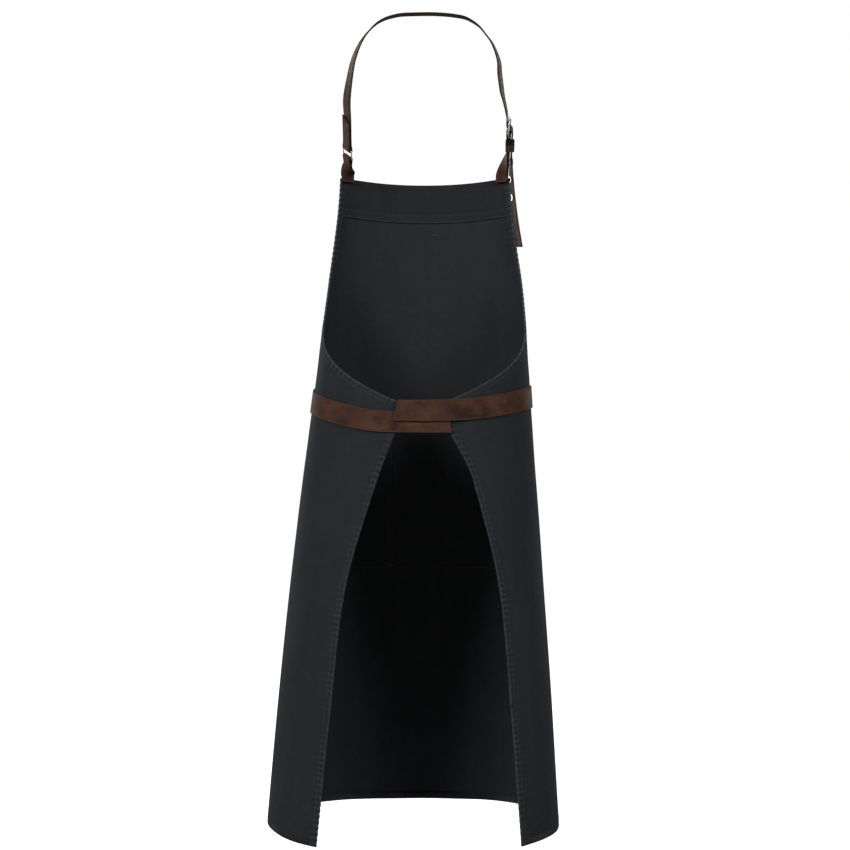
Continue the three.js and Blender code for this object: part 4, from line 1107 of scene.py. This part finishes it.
def right_strap_stations():
    layer = WAIST_LEATHER + GAP

    def lift(own):
        sewn = smoothstep(own, SEWN_AT + WAIST_SEWN - CROSSING_EASE, SEWN_AT)
        over_fold = layer * (1 - smoothstep(own, *FOLD_STEP))
        return (layer + GAP / 2) * sewn + front_raise(own) + over_fold

    wrap = belt_wrap(-1, RIGHT_HEIGHTS, lift, -WAIST_BUCKLE_S + 16)
    r = WAIST_BUCKLE["bar"] + GAP + WAIST_LEATHER / 2
    inner = WAIST_BASE + WAIST_RAISE
    rising = (inner + layer) * 0.65 + (WAIST_BAR + r) * 0.35
    run = [(-10, rising), (-4, WAIST_BAR + 0.9 * r)]
    run += zip(r * np.cos(HALF_TURN), WAIST_BAR + r * np.sin(HALF_TURN))
    run += [(-12, inner), (-24, inner), (-WAIST_FOLD, inner)]
    rows = [(WAIST_BUCKLE_S + along, FRONT_Z, out) for along, out in run]
    return belt_stations(wrap[:-1] + eased([wrap[-1], *rows]))


def belt_seat(start, end, at, outside):
    """A seat on the belt at arc length at, lying along the chord from start to end."""
    middle, across, _ = belt_stations([(s, FRONT_Z, outside) for s in (start, at, end)])
    here = middle[0] if at == start else middle[1]
    across = across[1]
    up = middle[2] - middle[0]
    up = unit(up - across * np.dot(up, across))
    return Seat(here, up, across, np.cross(up, across))


WAIST_SEAT = belt_seat(WAIST_BUCKLE_S, WAIST_BUCKLE_S + WAIST_BUCKLE["length"],
                       WAIST_BUCKLE_S, WAIST_BAR)
WAIST_KEEPER_SEAT = belt_seat(WAIST_KEEPER_S - 8, WAIST_KEEPER_S + 8, WAIST_KEEPER_S, WAIST_BASE)


# ---- strap bodies ----
STRAP_INSETS = np.array([0, 0.12, 0.35, 0.8, 1.5, 1.9, 2.3, 2.7, 3.1, 4.2])
STRAP_ROUND = 0.55  # radius of its worn edges
STRAP_PLUMP = 0.12  # how far its middle swells
GROOVE = 0.16  # depth and half width of the pressed line under the stitches
GROOVE_HALF = 0.42
SLANT_REACH = 30  # a slanted end's stations turn over this length


def strap_grid(stations, width, thick, slants):
    """The outer and inner faces of a strap: rounded edges and a pressed line for the stitches."""
    middle, across, face = stations
    reach = length_along(middle)
    inner = np.linspace(-width / 2 + 5.5, width / 2 - 5.5, 9)
    u = np.concatenate([STRAP_INSETS - width / 2, inner, width / 2 - STRAP_INSETS[::-1]])
    ends = np.clip(np.minimum(reach, reach[-1] - reach), 0, None)
    inset = np.minimum(width / 2 - np.abs(u)[None, :], ends[:, None])
    groove = GROOVE * bell(inset, LEATHER_STITCH_INSET, GROOVE_HALF)
    plump = STRAP_PLUMP * (1 - np.abs(u)[None, :] / (width / 2)) ** 0.5
    half = thick / 2 - round_off(inset, STRAP_ROUND) - groove + plump - 0.1
    run = unit(np.gradient(middle, axis=0))
    skew = slants[0] * np.clip(1 - reach / SLANT_REACH, 0, 1)
    skew = skew + slants[1] * np.clip(1 - (reach[-1] - reach) / SLANT_REACH, 0, 1)
    base = (middle[:, None] + across[:, None] * u[None, :, None]
            + run[:, None] * (skew[:, None] * u[None, :] / width)[..., None])
    flat = np.stack(np.broadcast_arrays(reach[:, None], u[None, :]), axis=-1)
    rise = face[:, None] * half[..., None]
    return base + rise, base - rise, flat, inset


def end_stations(stations):
    """Adds stations very near both ends, so that the ends are rounded off too."""
    middle, across, face = stations
    reach = length_along(middle)
    near = STRAP_INSETS[1:]
    at = np.unique(np.concatenate([reach, near, reach[-1] - near]))
    fine = [np.stack([np.interp(at, reach, grid[:, k]) for k in range(3)], axis=-1)
            for grid in (middle, across, face)]
    return fine[0], unit(fine[1]), unit(fine[2])


def add_strap(name, stations, width, thick, slants=(0, 0), shape=None):
    """slants skew its two ends; shape moves it out of its face, by place along and across."""
    stations = end_stations(stations)
    outer, inner, flat, inset = strap_grid(stations, width, thick, slants)
    if shape is not None:
        moved = shape(flat[..., 0], flat[..., 1])[..., None] * stations[2][:, None]
        outer, inner = outer + moved, inner + moved
    points, faces = sheet_points(outer, inner)
    flat = flat.reshape(-1, 2) * MM
    attributes = [("leather", np.concatenate([flat, flat + 0.53])),
                  ("edge", np.tile(inset.ravel(), 2))]
    strap = mesh_object(name + "_leather", points, faces, leather, attributes=attributes)
    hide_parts(name)
    add_strap_stitches(name, outer, inner, stations[2])
    return strap


def add_strap_stitches(name, outer, inner, face):
    """Rows of stitches down both long sides and across both ends, on both faces."""
    columns = outer.shape[1]
    near = int(np.argmin(np.abs(STRAP_INSETS - LEATHER_STITCH_INSET)))
    runs = []
    for grid, sign in ((outer, 1), (inner, -1)):
        for column in (near, columns - 1 - near):
            runs.append((grid[near:len(grid) - near, column], sign * face[near:len(grid) - near]))
        for row in (near, len(grid) - 1 - near):
            line = grid[row, near:columns - near]
            runs.append((line, np.repeat(sign * face[row][None], len(line), axis=0)))
    stitches(name + "_stitching", runs, LEATHER_STITCH_PITCH, THREAD, leather_thread)


# ---- holes ----
HOLE_DEPTH = 8


def cylinder(centre, axis, radius, length):
    """A closed cylinder in metres, as a mesh object for cutting."""
    bm = bmesh.new()
    turn = Vector(axis).to_track_quat("Z", "Y").to_matrix().to_4x4()
    bmesh.ops.create_cone(bm, cap_ends=True, segments=32, radius1=radius, radius2=radius,
                          depth=length, matrix=Matrix.Translation(Vector(centre)) @ turn)
    return cutter(bm)


def cutter(bm):
    """An object for cutting, which cut() deletes again."""
    mesh = bpy.data.meshes.new("cutter")
    bm.to_mesh(mesh)
    bm.free()
    obj = bpy.data.objects.new("cutter", mesh)
    bpy.context.scene.collection.objects.link(obj)
    return obj


def slot_box(seat, size, centre):
    """A box in a seat's (across, along, out), in millimetres, for cutting."""
    bm = bmesh.new()
    place = seat.matrix() @ Matrix.Translation(Vector(centre)) @ Matrix.Diagonal(Vector((*size, 1)))
    bmesh.ops.create_cube(bm, size=1, matrix=place)
    bmesh.ops.recalc_face_normals(bm, faces=bm.faces)
    return cutter(bm)


def cut(obj, cutters):
    """Takes the cutters' shapes out of an object's mesh."""
    for tool in cutters:
        modifier = obj.modifiers.new("cut", "BOOLEAN")
        modifier.operation = "DIFFERENCE"
        modifier.solver = "EXACT"
        modifier.object = tool
    bpy.context.view_layer.update()
    evaluated = obj.evaluated_get(bpy.context.evaluated_depsgraph_get())
    mesh = bpy.data.meshes.new_from_object(evaluated)
    obj.modifiers.clear()
    old, obj.data = obj.data, mesh
    mesh.name = obj.name
    bpy.data.meshes.remove(old)
    for tool in cutters:
        shape = tool.data
        bpy.data.objects.remove(tool)
        bpy.data.meshes.remove(shape)


def eyelet_holes(where, count, inner, stations):
    """Holes for the shanks of the eyelets, at the CAD eyelets' own places."""
    middle, _, face = stations
    radius = inner + EYELET_WALL + GAP
    cutters = []
    for k in range(1, count + 1):
        centre = np.mean(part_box(f"{where}_eyelet_{k}"), axis=0)
        nearest = int(np.argmin(np.linalg.norm(middle * MM - centre, axis=1)))
        cutters.append(cylinder(centre, face[nearest], radius * MM, HOLE_DEPTH * MM))
    return cutters


# ---- every leather piece ----
def add_neck_leather():
    stations = neck_strap_stations()
    strap = add_strap("neck_strap", stations, NECK_WIDTH, NECK_LEATHER, slants=(9, 7))
    holes = eyelet_holes("neck", 4, NECK_EYELET_HOLE, stations)
    cut(strap, holes + [tongue_slot(BUCKLE_SEAT, NECK_BUCKLE)])
    tab = tab_stations(1, RING_SEAT, -RING_SPACING / 2, RING_WIRE, 14)
    add_strap("neck_tab_left", tab, NECK_WIDTH, NECK_LEATHER)
    tab = tab_stations(-1, BUCKLE_SEAT, 0, NECK_BUCKLE["bar"], 34)
    turned = add_strap("neck_tab_right", tab, NECK_WIDTH, NECK_LEATHER)
    cut(turned, [turn_slot(BUCKLE_SEAT, NECK_BUCKLE)])


def tongue_slot(seat, buckle):
    """The room that the tongue needs in the strap, lying down and lifted."""
    reach = buckle["hole"] + 7
    height = 20
    low = buckle["rim"] + GAP - 0.6
    size = (buckle["tongue_width"] + 1.2, reach, height)
    return slot_box(seat, size, (0, reach / 2, low + height / 2))


def turn_slot(seat, buckle):
    """The slot for the tongue's root, where the leather turns round the hinge bar."""
    size = (buckle["tongue_width"] + 2 * GAP + 0.4, 12.2, 15)
    return slot_box(seat, size, (0, 1.1, 0))


def crossing_pinch(along, across):
    """The under strap's hollow beside the crossing, over the gap between the back edges."""
    hollow = bell(along, 51, 8) * bell(across, 4, 3.6)
    ridge = bell(along, 48, 17) * bell(across, -5, 3.2)
    crease = bell(along, 33, 11) * bell(across, 2.5, 3)
    return -4.2 * hollow + 1.3 * ridge - 2.0 * crease


def add_waist_leather():
    stations = left_strap_stations()
    strap = add_strap("waist_strap_left", stations, WAIST_WIDTH, WAIST_LEATHER,
                      shape=crossing_pinch)
    holes = eyelet_holes("waist", 5, WAIST_EYELET_HOLE, stations)
    cut(strap, holes + [tongue_slot(WAIST_SEAT, WAIST_BUCKLE)])
    strap = add_strap("waist_strap_right", right_strap_stations(), WAIST_WIDTH, WAIST_LEATHER)
    cut(strap, [turn_slot(WAIST_SEAT, WAIST_BUCKLE)])


# ---- loops: the ring, the buckle frames and the leather keepers ----
def rounded_outline(half_width, low, high, corner):
    """Places and outward directions round a rectangle with rounded corners."""
    x, top, bottom = half_width - corner, high - corner, low + corner
    centres = np.array([(x, top), (-x, top), (-x, bottom), (x, bottom)])
    share = np.linspace(0, 1, 26)[1:-1, None]
    places, outwards = [], []
    for quarter, centre in enumerate(centres):
        angles = np.radians(90 * quarter + np.linspace(0, 90, 10))
        away = np.stack([np.cos(angles), np.sin(angles)], axis=-1)
        side = centre * (1 - share) + centres[(quarter + 1) % 4] * share
        places += [centre + corner * away, side + corner * away[-1]]
        outwards += [away, np.repeat(away[-1:], len(share), axis=0)]
    return np.concatenate(places), np.concatenate(outwards)


def loop_faces(around, sides):
    return grid_faces(around, sides, wrap=True) % (around * sides)


def add_wire_loop(node, seat, inside, low, high, half_wide, half_thick, corner, hinge=None):
    """A closed steel loop with an oval section; a hinge bar is a thinner, round side."""
    half = inside / 2 + half_wide
    places, outwards = rounded_outline(half, low, high, corner)
    angle = np.arange(20) * 2 * math.pi / 20
    on_bar = np.zeros(len(places))
    if hinge is not None:
        on_bar = smoothstep(inside / 2 + 0.4 - np.abs(places[:, 0]), 0, 0.9) * (places[:, 1] < 1)
    wide = half_wide * (1 - on_bar) + (hinge or 0) * on_bar
    thick = half_thick * (1 - on_bar) + (hinge or 0) * on_bar
    reach = wide[:, None] * np.cos(angle)
    across = places[:, :1] + outwards[:, :1] * reach
    along = places[:, 1:] + outwards[:, 1:] * reach
    points = seat.at(across, along, thick[:, None] * np.sin(angle))
    loop = mesh_object(node + "_steel", points.reshape(-1, 3),
                       loop_faces(len(places), len(angle)), steel)
    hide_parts(node)


KEEPER_SIDE_EASE = 0.9
KEEPER_ROUND = 0.45
KEEPER_THREAD = 0.2


def keeper_section(length, thick):
    """A band's section with worn edges: (outward, along) pairs and the distance from an edge."""
    insets = np.array([0, 0.15, 0.45, 0.9, 1.5])
    along = np.concatenate([insets - length / 2, [0], length / 2 - insets[::-1]])
    inset = length / 2 - np.abs(along)
    half = thick / 2 - round_off(inset, KEEPER_ROUND)
    outward = np.concatenate([half, -half[::-1]])
    return outward, np.concatenate([along, along[::-1]]), np.concatenate([inset, inset[::-1]])


def add_keeper(node, body, seat, strap_width, low, high, length, at):
    """A leather loop that slides along its strap."""
    thick = KEEPER_LEATHER
    half = strap_width / 2 + KEEPER_SIDE_EASE + thick / 2
    places, outwards = rounded_outline(half, low - thick / 2, high + thick / 2, 1.2)
    outward, along, inset = keeper_section(length, thick)
    across = places[:, :1] + outwards[:, :1] * outward
    out = places[:, 1:] + outwards[:, 1:] * outward
    points = seat.at(across, at + along, out)
    reach = length_along(places)
    flat = np.stack(np.broadcast_arrays(reach[:, None], along[None]), axis=-1) * MM + 0.3
    attributes = [("leather", flat.reshape(-1, 2)),
                  ("edge", np.tile(inset, len(places)))]
    keeper = mesh_object(node + "_leather", points.reshape(-1, 3),
                         loop_faces(len(places), len(along)), leather, body, attributes)
    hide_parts(node)
    add_keeper_stitches(node, body, seat, (places, outwards), length, at)


def add_keeper_stitches(node, body, seat, outline, length, at):
    """A row of stitches round each edge of a keeper."""
    places, outwards = outline
    round_again = np.arange(len(places) + 1) % len(places)
    across, out = (places + outwards * (KEEPER_LEATHER / 2))[round_again].T
    normal = outwards[:, :1] * seat.across + outwards[:, 1:] * seat.out
    rows = [(seat.at(across, at + side * (length / 2 - 2), out), normal[round_again])
            for side in (-1, 1)]
    stitches(node + "_stitching", rows, LEATHER_STITCH_PITCH, KEEPER_THREAD, leather_thread,
             body)


def add_loops():
    add_wire_loop("neck_ring", RING_SEAT, RING_INSIDE, -RING_SPACING / 2, RING_SPACING / 2,
                  RING_WIRE, RING_WIRE, 2)
    for node, seat, buckle in (("neck_buckle_frame", BUCKLE_SEAT, NECK_BUCKLE),
                               ("waist_buckle_frame", WAIST_SEAT, WAIST_BUCKLE)):
        add_wire_loop(node, seat, buckle["inside"], 0, buckle["length"], buckle["wide"],
                      buckle["rim"], 3, buckle["bar"])
    low = -(LAYER_HALF + NECK_LEATHER / 2 + 0.5)
    high = TAIL_OUT + NECK_LEATHER / 2 + EYELET_FLANGE_OUT + GAP
    add_keeper("neck_keeper", "neck_loop_keeper", BUCKLE_SEAT, NECK_WIDTH, low, high,
               NECK_KEEPER_LENGTH, NECK_KEEPER_AT)
    low = WAIST_RAISE - WAIST_LEATHER / 2 - KEEPER_EASE
    high = WAIST_TAIL_OUT - WAIST_BASE + WAIST_LEATHER / 2 + EYELET_FLANGE_OUT + KEEPER_EASE
    add_keeper("waist_keeper", "waist_loop_keeper", WAIST_KEEPER_SEAT, WAIST_WIDTH, low, high,
               WAIST_KEEPER_LENGTH, 0)


CAD_STEEL = (["neck_buckle_tongue", "waist_buckle_tongue"]
             + [f"neck_eyelet_{k}" for k in range(1, 5)]
             + [f"waist_eyelet_{k}" for k in range(1, 6)])


def finish_cad_nodes():
    """The tongues and eyelets keep their CAD shape and take the modelled steel."""
    for name in CAD_STEEL:
        node = bpy.data.objects[name]
        node.data.materials.clear()
        node.data.materials.append(steel)


# ---- the room: a white floor and backdrop, with soft studio light, in metres ----
FLOOR_Z = -1.34
FLOOR_HALF = 9
ROOM_LIGHT = 0.045
LIT_POINT = Vector((0, 0, -0.6))
LIGHTS = [
    # name, place, size, power in watts
    ("key", (2.6, 2.3, 1.1), 1.5, 145),
    ("fill", (-2.6, 2.3, 1.2), 1.5, 105),
    ("front_left", (2.0, -2.9, 0.6), 1.6, 66),
    ("front_right", (-2.0, -2.9, 0.6), 1.6, 46),
]


def add_floor():
    """White to the camera without a horizon; to the object, a floor that returns soft light."""
    look = Look("studio_white")
    place = look.node("TexCoord").outputs["Object"]
    cloud = look.noise(place, 0.7)
    look.set("Base Color", look.mix(cloud, (0.36, 0.36, 0.36, 1), (0.42, 0.42, 0.42, 1)))
    look.set("Roughness", 0.9)
    look.set("Specular IOR Level", 0.0)
    look.set("Emission Color", WHITE)
    look.set("Emission Strength", look.node("LightPath").outputs["Is Camera Ray"])
    mesh = bpy.data.meshes.new("floor")
    corners = [(x * FLOOR_HALF, y * FLOOR_HALF, 0)
               for x, y in ((-1, -1), (1, -1), (1, 1), (-1, 1))]
    mesh.from_pydata(corners, [], [(0, 1, 2, 3)])
    mesh.materials.append(look.material)
    floor = bpy.data.objects.new("floor", mesh)
    floor.location = (0, 0, FLOOR_Z)
    bpy.context.scene.collection.objects.link(floor)


def add_light(name, place, size, power):
    data = bpy.data.lights.new(name, "AREA")
    data.shape = "DISK"
    data.size = size
    data.energy = power
    light = bpy.data.objects.new(name, data)
    light.location = place
    toward = LIT_POINT - Vector(place)
    light.rotation_euler = toward.to_track_quat("-Z", "Y").to_euler()
    bpy.context.scene.collection.objects.link(light)


def add_world():
    """A white backdrop for the camera, and a dimmer room for everything else."""
    world = bpy.data.worlds.new("studio")
    world.use_nodes = True
    nodes, links = world.node_tree.nodes, world.node_tree.links
    seen = nodes.new("ShaderNodeLightPath")
    strength = nodes.new("ShaderNodeMapRange")
    strength.inputs["To Min"].default_value = ROOM_LIGHT
    strength.inputs["To Max"].default_value = 1.0
    links.new(seen.outputs["Is Camera Ray"], strength.inputs["Value"])
    links.new(strength.outputs[0], nodes["Background"].inputs["Strength"])
    nodes["Background"].inputs["Color"].default_value = WHITE
    bpy.context.scene.world = world


def add_studio():
    add_world()
    add_floor()
    for light in LIGHTS:
        add_light(*light)
    bpy.context.scene.view_settings.view_transform = "Standard"


panel = add_panel()
facing = add_facing()
pocket = add_pocket()
seams = add_cloth_stitching()
add_neck_leather()
add_waist_leather()
add_loops()
finish_cad_nodes()
add_studio()
